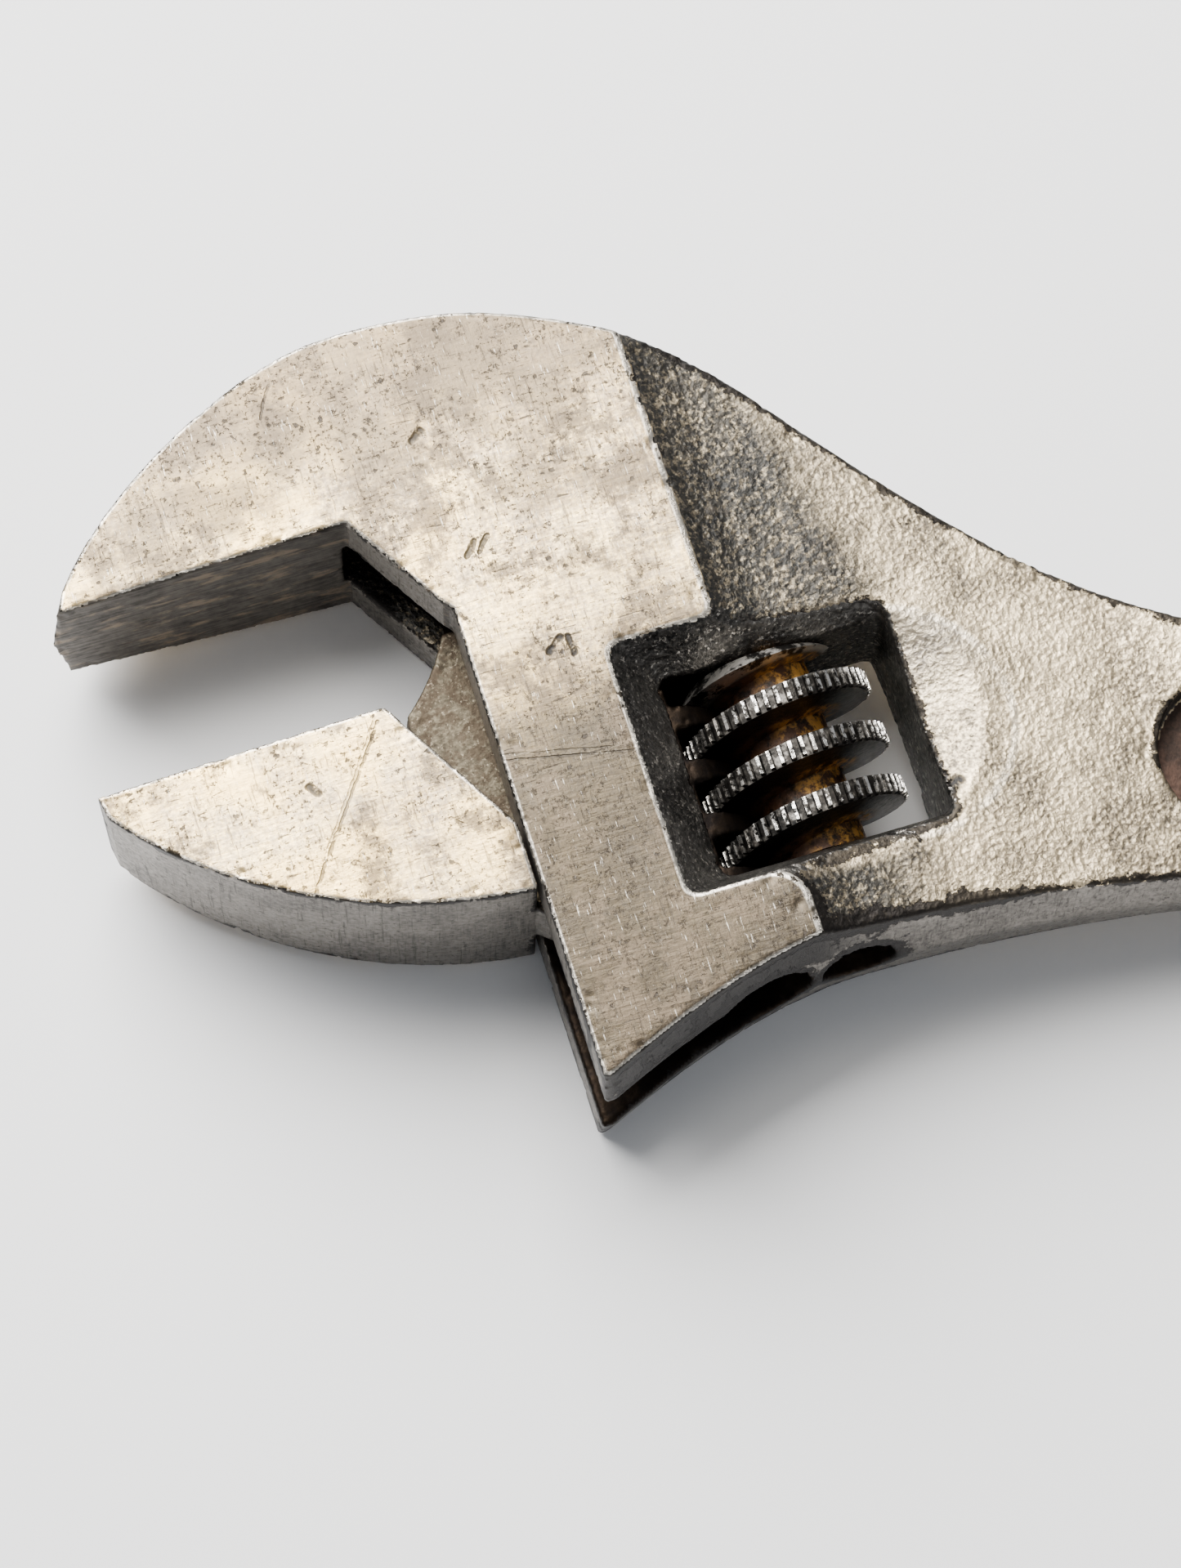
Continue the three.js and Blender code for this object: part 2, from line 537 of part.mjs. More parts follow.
/** Half the thread's width at a radius. */
function threadHalfWidth(radius) {
  return THREAD_CREST / 2 + (WORM_RADIUS - radius) * Math.tan(THREAD_FLANK);
}

/** The worm's thread as a closed ribbon, right-handed about Y and longer than the worm. */
function thread() {
  const inner = WORM_ROOT_RADIUS - CLEARANCE;
  const section = [
    [inner, -threadHalfWidth(inner)], [WORM_RADIUS, -THREAD_CREST / 2],
    [WORM_RADIUS, THREAD_CREST / 2], [inner, threadHalfWidth(inner)],
  ];
  const perTurn = 40;
  const spareTurns = 0.6; // beyond each end of the worm, to be cut off
  const from = -Math.ceil((THREAD_START / WORM_PITCH + spareTurns) * perTurn);
  const to = Math.ceil(((WORM_LENGTH - THREAD_START) / WORM_PITCH + spareTurns) * perTurn);
  const positions = [];
  for (let index = from; index <= to; index += 1) {
    const turn = index / perTurn;
    const angle = 2 * Math.PI * turn;
    for (const [radius, offset] of section) {
      const y = THREAD_Y + WORM_PITCH * turn + offset;
      positions.push(radius * Math.sin(angle), y, radius * Math.cos(angle));
    }
  }
  const size = section.length;
  const indices = [0, 1, 2, 0, 2, 3];
  for (let ring = 0; ring < to - from; ring += 1) {
    for (let corner = 0; corner < size; corner += 1) {
      const a = ring * size + corner;
      const b = ring * size + (corner + 1) % size;
      indices.push(a, b + size, b, a, a + size, b + size);
    }
  }
  const end = (to - from) * size;
  indices.push(end, end + 2, end + 1, end, end + 3, end + 2);
  const geometry = new THREE.BufferGeometry();
  geometry.setAttribute('position', new THREE.Float32BufferAttribute(positions, 3));
  geometry.setIndex(indices);
  return solid(geometry.translate(WORM_X, 0, 0));
}

/** Cone of a chamfer at an end of the worm, run out past the thread's crest. */
function endChamfer(y, inward, [depth, length]) {
  const outside = CLEARANCE;
  const slope = length / depth;
  return [[WORM_RADIUS - depth, y], [WORM_RADIUS + outside, y + inward * slope * (depth + outside)]];
}

/** The knurled worm: hub and thread, bored for the pin and pocketed for the spring. */
function wormKnurl() {
  const blank = turned(WORM_X, [
    [0, WORM_BOTTOM],
    ...endChamfer(WORM_BOTTOM, 1, LOWER_CHAMFER),
    ...endChamfer(WORM_TOP, -1, UPPER_CHAMFER).reverse(),
    [0, WORM_TOP],
  ], 36);
  const hub = bar(WORM_X, WORM_ROOT_RADIUS, WORM_BOTTOM, WORM_TOP, 28);
  const bore = bar(WORM_X, PIN_HOLE_RADIUS, WORM_BOTTOM - OVERCUT, WORM_TOP + OVERCUT, 24);
  const pocket = bar(WORM_X, POCKET_RADIUS, WORM_TOP - SPRING_POCKET, WORM_TOP + OVERCUT, 24);
  return thread().intersect(blank).add(hub).subtract(bore).subtract(pocket);
}

/** The worm's pin: slotted head, plain shank and threaded tip. */
function wormPin() {
  const headBottom = UNDER_EDGE_Y + PIN_HEAD_INSET;
  const headTop = headBottom + PIN_HEAD_LENGTH;
  const tip = WINDOW_TOP + PIN_TIP_LENGTH;
  const profile = [
    [0, headBottom],
    [PIN_HEAD_RADIUS, headBottom],
    [PIN_HEAD_RADIUS, headTop],
    [PIN_RADIUS, headTop],
  ];
  const ridges = Math.floor(PIN_TIP_LENGTH / PIN_THREAD_PITCH) - 1;
  for (let index = ridges; index > 0; index -= 1) {
    const y = tip - index * PIN_THREAD_PITCH;
    profile.push([PIN_RADIUS, y - PIN_THREAD_PITCH / 4]);
    profile.push([PIN_RADIUS - PIN_THREAD_DEPTH, y + PIN_THREAD_PITCH / 4]);
  }
  profile.push([PIN_RADIUS - PIN_THREAD_DEPTH, tip], [0, tip]);
  const slot = block(WORM_X - 2 * PIN_HEAD_RADIUS, WORM_X + 2 * PIN_HEAD_RADIUS,
    headBottom - OVERCUT, headBottom + PIN_SLOT_DEPTH, -PIN_SLOT_WIDTH / 2, PIN_SLOT_WIDTH / 2);
  return turned(WORM_X, profile, 20).subtract(slot);
}

/** Middle line of the spring's wire. */
class SpringLine extends THREE.Curve {
  constructor(radius, start, rise, turns) {
    super();
    Object.assign(this, { radius, start, rise, turns });
  }

  getPoint(t, target = new THREE.Vector3()) {
    const angle = 2 * Math.PI * this.turns * t;
    return target.set(
      WORM_X + this.radius * Math.sin(angle),
      this.start + this.rise * t,
      this.radius * Math.cos(angle),
    );
  }
}

/** The small coil that takes up the worm's end play. */
function wormSpring() {
  const start = WORM_TOP - SPRING_POCKET + CLEARANCE + SPRING_WIRE / 2;
  const end = WINDOW_TOP - CLEARANCE - SPRING_WIRE / 2;
  const section = new THREE.Shape().absarc(0, 0, SPRING_WIRE / 2, 0, 2 * Math.PI);
  const geometry = new THREE.ExtrudeGeometry(section, {
    steps: Math.round(SPRING_TURNS * 14),
    curveSegments: 4,
    extrudePath: new SpringLine(SPRING_RADIUS, start, end - start, SPRING_TURNS),
  });
  return solid(geometry);
}

// ---- Assembly -----------------------------------------------------------------------------

/** A named piece in its own finish. */
function piece(name, body, color, roughness, metalness) {
  const mesh = new THREE.Mesh(
    geometryOf(body),
    new THREE.MeshStandardMaterial({ color, roughness, metalness }),
  );
  mesh.name = name;
  return mesh;
}

const head = new THREE.Group();
head.rotation.z = HEAD_ANGLE;
head.add(
  piece('wrench_body', wrenchBody(), 0xb9b2a6, 0.38, 0.9),
  piece('movable_jaw', movableJaw(), 0xbcb6ab, 0.36, 0.9),
  piece('worm_knurl', wormKnurl(), 0x4a443d, 0.42, 0.85),
  piece('worm_pin', wormPin(), 0x75706a, 0.45, 0.9),
  piece('worm_spring', wormSpring(), 0x6e6a66, 0.4, 0.9),
);

// The wrench rests on z = 0 with the middle of its length and width over the origin.
const wrench = new THREE.Group();
wrench.add(head);
const extent = new THREE.Box3().setFromObject(wrench, true);
const centre = extent.getCenter(new THREE.Vector3());
head.position.set(-centre.x, -centre.y, -extent.min.z);

export default wrench;
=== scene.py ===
"""Studio view of a worn adjustable wrench.

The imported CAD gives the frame: names, places, sizes and joints. Each piece here is a finer copy
of its CAD node, with broken edges, forged and ground surfaces and wear, and rides on the same body.
Lengths in this file are millimetres in the head's own frame unless a name says otherwise: y = 0 is
the fixed jaw's face, x = 0 the front of the slide and z = 0 the middle of the thickness.
"""
import json
import logging
import math
from dataclasses import dataclass
from enum import Enum
from typing import Iterable, Sequence

import bmesh
import bpy
import numpy as np
from mathutils import Matrix, Vector, kdtree, noise
from mathutils.bvhtree import BVHTree


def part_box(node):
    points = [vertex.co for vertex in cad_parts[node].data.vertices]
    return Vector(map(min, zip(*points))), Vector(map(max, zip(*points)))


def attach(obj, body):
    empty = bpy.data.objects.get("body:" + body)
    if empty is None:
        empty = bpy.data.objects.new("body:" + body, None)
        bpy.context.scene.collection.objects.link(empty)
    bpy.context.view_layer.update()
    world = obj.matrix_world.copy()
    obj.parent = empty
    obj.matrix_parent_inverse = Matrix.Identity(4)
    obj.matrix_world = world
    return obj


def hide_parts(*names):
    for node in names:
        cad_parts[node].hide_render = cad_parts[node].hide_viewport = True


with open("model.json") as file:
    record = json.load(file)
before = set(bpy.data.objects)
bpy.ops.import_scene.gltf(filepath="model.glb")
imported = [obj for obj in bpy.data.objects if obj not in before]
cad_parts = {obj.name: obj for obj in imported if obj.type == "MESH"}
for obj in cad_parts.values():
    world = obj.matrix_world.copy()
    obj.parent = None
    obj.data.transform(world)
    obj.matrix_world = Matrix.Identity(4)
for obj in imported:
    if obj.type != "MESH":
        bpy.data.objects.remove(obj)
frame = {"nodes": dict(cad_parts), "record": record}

logging.basicConfig(level=logging.INFO, format="%(name)s: %(message)s")
LOG = logging.getLogger("wrench")

MM = 0.001
SEED = 7


# ---- The head's frame ---------------------------------------------------------------------------


class HeadFrame:
    """The head's own axes, found from the worm's joint.

    Args:
        record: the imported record, for the worm's joint.
        worm_x: distance of the worm's axis behind the slide's front.
        worm_y: the joint's point along that axis.
    """

    def __init__(self, record: dict, worm_x: float, worm_y: float) -> None:
        joint = next(j for j in record["behaviour"]["joints"] if j["name"] == "worm_spin")
        self.y_axis = Vector(joint["axis"]).normalized()
        self.x_axis = self.y_axis.cross(Vector((0, 0, 1)))
        spot = Vector(joint["pos_m"])
        self.origin = spot - (self.x_axis * worm_x + self.y_axis * worm_y) * MM

    def place(self, x: float, y: float, z: float = 0.0) -> Vector:
        """Row-frame point, in metres, of a head-frame point in millimetres."""
        return self.origin + (self.x_axis * x + self.y_axis * y + Vector((0, 0, z))) * MM

    def turn(self, x: float, y: float, z: float) -> Vector:
        """Row-frame direction of a head-frame direction."""
        return self.x_axis * x + self.y_axis * y + Vector((0, 0, z))

    def local(self, points: np.ndarray) -> np.ndarray:
        """Head-frame millimetres of row-frame points in metres."""
        axes = np.array([self.x_axis, self.y_axis, (0, 0, 1)])
        return (points - np.array(self.origin)) @ axes.T / MM

    def local_directions(self, vectors: np.ndarray) -> np.ndarray:
        """Head-frame components of row-frame directions."""
        return vectors @ np.array([self.x_axis, self.y_axis, (0, 0, 1)]).T

    def matrix(self) -> Matrix:
        """Matrix that takes head-frame millimetres to row-frame metres."""
        turn = Matrix((self.x_axis, self.y_axis, (0, 0, 1))).transposed()
        return Matrix.Translation(self.origin) @ turn.to_4x4() @ Matrix.Scale(MM, 4)


WORM_X = 19.6
WORM_JOINT_Y = -23.25
RAIL_X = 12.1
RAIL_BORE = 4.3  # reach of the rail bore's dark finish from its axis
PIN_BORE = 2.8  # the same for the pin's bores
SLIDE_TOP = 6.3  # y of the slide's upper end
HEAD = HeadFrame(frame["record"], WORM_X, WORM_JOINT_Y)


# ---- Sizes and finishes -------------------------------------------------------------------------


class Trace(Enum):
    """Point attributes that a finish reads."""

    EDGE = "edge"  # 1 on a sharp edge, 0 beyond REACH from it
    GRIME = "grime"  # 1 deep in a corner, 0 in the open


class Zone(Enum):
    """Parts of a forging's surface that have a finish of their own."""

    FORGED = "forged"
    SIDE = "side"
    GROUND = "ground"
    WEB = "web"
    WINDOW = "window"
    PANEL = "panel"
    MOUTH = "mouth"
    HOLLOW = "hollow"


@dataclass(frozen=True)
class HeadSizes:
    """Sizes of the head that the surfaces need."""

    half_thickness: float = 7.75
    half_neck: float = 6.0
    jaw_taper: float = 2.1
    taper_power: float = 1.4
    jaw_tip: float = 25.4
    slope_start: float = 24.1
    slope_end: float = 43.0
    half_handle: float = 4.0
    window: tuple[float, float, float, float] = (12.2, 28.4, -30.6, -15.9)

    def face_height(self, x: np.ndarray) -> np.ndarray:
        """Height of the ground face above the middle plane at x."""
        ahead = np.clip(-x, 0, None) / self.jaw_tip
        return self.half_thickness - self.jaw_taper * ahead**self.taper_power

    def neck_height(self, x: np.ndarray) -> np.ndarray:
        """Height of the neck and the handle above the middle plane at x."""
        share = np.clip((x - self.slope_start) / (self.slope_end - self.slope_start), 0, 1)
        return self.half_neck + (self.half_handle - self.half_neck) * share


@dataclass(frozen=True)
class Refining:
    """How a CAD node's copy is refined."""

    voxel: float  # size of the fine mesh's cells
    triangles: int  # most triangles kept
    smoothing: int  # rounds of smoothing, which round the edges off
    smoothing_factor: float = 0.5
    sharp_degrees: float = 28.0


@dataclass(frozen=True)
class Steel:
    """A finish of bare steel.

    Colours are linear. `grain` sizes are millimetres.
    """

    light: tuple[float, float, float]
    dark: tuple[float, float, float]
    roughness: float
    roughness_spread: float
    metallic: float
    grain: float
    grain_depth: float


GROUND_FINISH = Steel((0.93, 0.68, 0.31), (0.29, 0.205, 0.11), 0.34, 0.16, 1.0, 0.30, 0.008)
FORGED_FINISH = Steel((0.86, 0.70, 0.46), (0.11, 0.094, 0.074), 0.36, 0.20, 1.0, 0.30, 0.032)
WINDOW_FINISH = Steel((0.13, 0.122, 0.112), (0.008, 0.008, 0.008), 0.36, 0.18, 0.90, 0.34, 0.050)
# The mouth's finish: dark with old grease, and darker still as painted shade.
MOUTH_GREASE_AND_SHADE_FINISH = Steel((0.065, 0.056, 0.047), (0.018, 0.015, 0.013), 0.55, 0.14, 0.80, 0.7, 0.020)
SIDE_FINISH = Steel((0.25, 0.23, 0.205), (0.08, 0.073, 0.066), 0.46, 0.14, 0.95, 0.4, 0.015)
PANEL_FINISH = Steel((0.085, 0.046, 0.032), (0.022, 0.014, 0.011), 0.60, 0.10, 0.6, 0.5, 0.040)
# The web's finish: bare steel, darkened further as painted shadow cast by the head.
WEB_STEEL_AND_SHADOW_FINISH = Steel((0.105, 0.088, 0.060), (0.022, 0.017, 0.011), 0.50, 0.18, 0.80, 0.35, 0.030)
WORM_FINISH = Steel((0.034, 0.031, 0.028), (0.006, 0.006, 0.006), 0.36, 0.14, 0.95, 0.4, 0.02)
HOLLOW_FINISH = Steel((0.022, 0.015, 0.010), (0.005, 0.004, 0.004), 0.45, 0.12, 0.95, 0.8, 0.02)
SCALE_BLACK = (0.016, 0.014, 0.013)
RUST_DARK = (0.075, 0.030, 0.011)
RUST_LIGHT = (0.60, 0.31, 0.06)
SCOOP = (26.3, -23.8, 8.3)  # middle and radius of the thumb scoop's rim


@dataclass(frozen=True)
class Mark:
    """A scratch or dent on a ground face: a capsule between two head-frame points."""

    start: tuple[float, float]
    end: tuple[float, float]
    half_width: float
    depth: float
    darkness: float


BODY_MARKS = (
    Mark((-0.1, -19.5), (8.6, -21.3), 0.07, 0.03, 0.35),
    Mark((0.2, -19.1), (7.2, -20.6), 0.05, 0.02, 0.25),
    Mark((2.0, -4.8), (2.8, -3.9), 0.16, 0.10, 0.75),
    Mark((2.9, -4.7), (3.7, -3.7), 0.16, 0.10, 0.75),
    Mark((5.3, -13.0), (6.3, -12.2), 0.20, 0.10, 0.95),
    Mark((6.8, -12.3), (6.9, -13.6), 0.18, 0.10, 0.95),
    Mark((-7.1, 11.7), (-8.6, 9.2), 0.08, 0.03, 0.40),
    Mark((0.9, 4.4), (1.6, 4.9), 0.24, 0.08, 0.80),
)
NECK_MARKS = (
    Mark((27.6, -29.9), (29.2, -28.9), 0.42, 0.12, 1.00),
    Mark((28.3, -29.2), (28.5, -28.2), 0.30, 0.12, 1.00),
)
JAW_MARKS = (
    Mark((-7.1, -14.3), (-15.0, -25.3), 0.09, 0.04, 0.55),
    Mark((-7.4, -14.2), (-13.2, -22.4), 0.05, 0.03, 0.25),
    Mark((-12.8, -17.2), (-12.3, -17.9), 0.22, 0.08, 0.85),
    Mark((-4.4, -22.3), (-3.6, -23.1), 0.10, 0.04, 0.45),
)


# ---- Shader trees -------------------------------------------------------------------------------


class Wire:
    """An output socket that can be added, multiplied and compared like a number."""

    def __init__(self, graph: "Graph", socket: bpy.types.NodeSocket) -> None:
        self.graph = graph
        self.socket = socket

    def _math(self, operation: str, *others: "Wire | float", clamp: bool = False) -> "Wire":
        return self.graph.math(operation, self, *others, clamp=clamp)

    def __add__(self, other: "Wire | float") -> "Wire":
        return self._math("ADD", other)

    def __radd__(self, other: float) -> "Wire":
        return self._math("ADD", other)

    def __sub__(self, other: "Wire | float") -> "Wire":
        return self._math("SUBTRACT", other)

    def __rsub__(self, other: float) -> "Wire":
        return self.graph.math("SUBTRACT", other, self)

    def __mul__(self, other: "Wire | float") -> "Wire":
        return self._math("MULTIPLY", other)

    def __rmul__(self, other: float) -> "Wire":
        return self._math("MULTIPLY", other)

    def __truediv__(self, other: "Wire | float") -> "Wire":
        return self._math("DIVIDE", other)

    def __rtruediv__(self, other: float) -> "Wire":
        return self.graph.math("DIVIDE", other, self)

    def __pow__(self, other: "Wire | float") -> "Wire":
        return self._math("POWER", other)

    def abs(self) -> "Wire":
        """Size without sign."""
        return self._math("ABSOLUTE")

    def clamp(self) -> "Wire":
        """Held between 0 and 1."""
        return self._math("ADD", 0.0, clamp=True)

    def least(self, other: "Wire | float") -> "Wire":
        """The smaller of the two."""
        return self._math("MINIMUM", other)

    def most(self, other: "Wire | float") -> "Wire":
        """The larger of the two."""
        return self._math("MAXIMUM", other)

    def smooth(self, low: float, high: float) -> "Wire":
        """0 below low, 1 above high and smooth between; turned round where low is the larger."""
        out = (0.0, 1.0)
        if low > high:
            low, high, out = high, low, (1.0, 0.0)
        made = self.graph.node(
            "ShaderNodeMapRange",
            {"Value": self, "From Min": low, "From Max": high, "To Min": out[0], "To Max": out[1]},
            interpolation_type="SMOOTHSTEP",
        )
        return Wire(self.graph, made.outputs["Result"])


Color = Wire | Sequence[float]


class Graph:
    """Builds a node tree from wires and plain values.

    Args:
        tree: the tree to build in.
    """

    def __init__(self, tree: bpy.types.NodeTree) -> None:
        self.tree = tree
        self._coordinates: tuple[Wire, Wire, Wire] | None = None
        self._attributes: dict[str, Wire] = {}

    def node(self, kind: str, inputs: dict | None = None, **settings: object) -> bpy.types.Node:
        """Adds a node.

        Args:
            kind: the node's type name.
            inputs: values or wires by socket name or index.
            settings: the node's own properties.

        Returns:
            The new node.
        """
        made = self.tree.nodes.new(kind)
        for name, value in settings.items():
            setattr(made, name, value)
        for key, value in (inputs or {}).items():
            socket = made.inputs[key]
            if isinstance(value, Wire):
                self.tree.links.new(value.socket, socket)
            else:
                socket.default_value = value
        return made

    def math(self, operation: str, *values: Wire | float, clamp: bool = False) -> Wire:
        """A Math node's result."""
        made = self.node("ShaderNodeMath", dict(enumerate(values)), operation=operation, use_clamp=clamp)
        return Wire(self, made.outputs[0])

    def vector(self, operation: str, *values: Wire | Sequence[float], output: str = "Vector") -> Wire:
        """A Vector Math node's result."""
        made = self.node("ShaderNodeVectorMath", dict(enumerate(values)), operation=operation)
        return Wire(self, made.outputs[output])

    def combine(self, x: Wire | float, y: Wire | float, z: Wire | float) -> Wire:
        """A vector from three numbers."""
        return Wire(self, self.node("ShaderNodeCombineXYZ", {"X": x, "Y": y, "Z": z}).outputs[0])

    def attribute(self, trace: Trace) -> Wire:
        """The value of one of the piece's point attributes."""
        if trace.value not in self._attributes:
            made = self.node("ShaderNodeAttribute", attribute_name=trace.value)
            self._attributes[trace.value] = Wire(self, made.outputs["Fac"])
        return self._attributes[trace.value]

    def head(self) -> tuple[Wire, Wire, Wire]:
        """Head-frame coordinates of the shaded point, in millimetres."""
        if self._coordinates is None:
            point = Wire(self, self.node("ShaderNodeTexCoord").outputs["Object"])
            offset = self.vector("SUBTRACT", point, tuple(HEAD.origin))
            axes = (HEAD.x_axis, HEAD.y_axis, Vector((0, 0, 1)))
            self._coordinates = tuple(
                self.vector("DOT_PRODUCT", offset, tuple(axis / MM), output="Value") for axis in axes
            )
        return self._coordinates

    def noise(self, size: float, detail: float = 4.0, roughness: float = 0.55,
              stretch: tuple[float, float, float] = (1, 1, 1), shift: float = 0.0) -> Wire:
        """Smooth noise between 0 and 1.

        Args:
            size: size of its blobs in millimetres.
            detail: octaves.
            roughness: strength of each octave over the last.
            stretch: how much longer the blobs are along the head's axes.
            shift: moves the pattern, so that two of one size differ.
        """
        x, y, z = self.head()
        along, across, up = (size * value for value in stretch)
        at = self.combine(x / along + shift, y / across + shift, z / up)
        inputs = {"Vector": at, "Scale": 1.0, "Detail": detail, "Roughness": roughness}
        made = self.node("ShaderNodeTexNoise", inputs)
        return Wire(self, made.outputs["Fac"])

    def cells(self, size: float, shift: float = 0.0) -> Wire:
        """Distance to the nearest of scattered points, 0 at a point and near 1 between them."""
        x, y, z = self.head()
        at = self.combine(x / size + shift, y / size + shift, z / size)
        made = self.node("ShaderNodeTexVoronoi", {"Vector": at, "Scale": 1.0})
        return Wire(self, made.outputs["Distance"])

    def blend(self, share: Wire | float, first: Color, second: Color) -> Wire:
        """A colour between two, all first where share is 0."""
        made = self.node("ShaderNodeMix", data_type="RGBA", blend_type="MIX", clamp_factor=True)
        for index, value in ((0, share), (6, first), (7, second)):
            if isinstance(value, Wire):
                self.tree.links.new(value.socket, made.inputs[index])
            elif index == 0:
                made.inputs[index].default_value = value
            else:
                made.inputs[index].default_value = (*value, 1.0)
        return Wire(self, made.outputs[2])

    def number_blend(self, share: Wire | float, first: Wire | float, second: Wire | float) -> Wire:
        """A number between two, all first where share is 0."""
        inputs = {0: share, 2: first, 3: second}
        made = self.node("ShaderNodeMix", inputs, data_type="FLOAT", clamp_factor=True)
        return Wire(self, made.outputs[0])


@dataclass
class Layer:
    """What a point's surface looks like before it is finished into a material."""

    color: Wire
    roughness: Wire
    metallic: Wire
    height: Wire  # millimetres


class SteelBuilder:
    """Builds one material by laying finishes over each other.

    Args:
        name: the material's name.
    """

    def __init__(self, name: str) -> None:
        self.material = bpy.data.materials.new(name)
        self.material.use_nodes = True
        self.material.node_tree.nodes.clear()
        self.graph = Graph(self.material.node_tree)

    def steel(self, finish: Steel, shift: float = 0.0) -> Layer:
        """A whole surface in one finish."""
        graph = self.graph
        broad = graph.noise(6.0, 4, 0.6, shift=shift)
        fine = graph.noise(finish.grain, 5, 0.6, shift=shift + 3)
        share = (broad.smooth(0.34, 0.66) * 0.55 + fine.smooth(0.35, 0.68) * 0.6).clamp()
        color = graph.blend(share, finish.dark, finish.light)
        rough = finish.roughness + (0.5 - fine) * (2 * finish.roughness_spread)
        height = (fine - 0.5) * (2 * finish.grain_depth)
        return Layer(color, rough, graph.number_blend(0.0, finish.metallic, finish.metallic), height)

    def stain(self, layer: Layer, share: Wire, color: Sequence[float], roughness: float,
              metallic: float, depth: float = 0.0) -> Layer:
        """A plain colour over a layer, sunk by depth."""
        graph = self.graph
        return Layer(
            graph.blend(share, layer.color, color),
            graph.number_blend(share, layer.roughness, roughness),
            graph.number_blend(share, layer.metallic, metallic),
            layer.height - share * depth,
        )

    def brush(self, layer: Layer, along: Sequence[float], depth: float, shift: float = 0.0) -> Layer:
        """Fine grinding lines, long on the head's axes where `along` is large."""
        lines = self.graph.noise(0.10, 3, 0.6, stretch=along, shift=shift)
        dimmed = self.graph.blend(lines.smooth(0.30, 0.70) * 0.28, layer.color, (0.40, 0.37, 0.33))
        swing = lines - 0.5
        return Layer(dimmed, layer.roughness + swing * 0.22, layer.metallic, layer.height + swing * depth)

    def marks(self, layer: Layer, marks: Iterable[Mark]) -> Layer:
        """Scratches and dents on the ground face."""
        graph = self.graph
        x, y, z = graph.head()
        wobble = (graph.noise(1.2, 3) - 0.5) * 0.35
        flat = graph.combine(x + wobble, y - wobble, 0.0)
        upper = z.smooth(0.0, 1.0)
        for mark in marks:
            start = Vector((*mark.start, 0))
            along = Vector((*mark.end, 0)) - start
            scaled = tuple(along / along.length_squared)
            offset = graph.vector("SUBTRACT", flat, tuple(start))
            reach = graph.vector("DOT_PRODUCT", offset, scaled, output="Value").clamp()
            nearest = graph.vector("MULTIPLY", graph.combine(reach, reach, 0.0), tuple(along))
            distance = graph.vector("DISTANCE", offset, nearest, output="Value")
            broken = graph.noise(0.8, 2, shift=mark.start[0]).smooth(0.30, 0.55)
            share = distance.smooth(mark.half_width * 1.6, mark.half_width * 0.5) * broken * upper
            layer = self.stain(layer, share * mark.darkness, SCALE_BLACK, 0.6, 0.4, 0.0)
            layer.height = layer.height - share * mark.depth
        return layer

    def finish(self, layer: Layer) -> bpy.types.Material:
        """Ends the material in a shader."""
        graph = self.graph
        relief = {"Height": layer.height * MM, "Strength": 1.0, "Distance": 1.0}
        bumped = graph.node("ShaderNodeBump", relief)
        shader = graph.node("ShaderNodeBsdfPrincipled", {
            "Base Color": layer.color,
            "Roughness": layer.roughness.most(0.12).least(0.95),
            "Metallic": layer.metallic.clamp(),
            "Normal": Wire(graph, bumped.outputs["Normal"]),
        })
        graph.node("ShaderNodeOutputMaterial", {"Surface": Wire(graph, shader.outputs[0])})
        return self.material


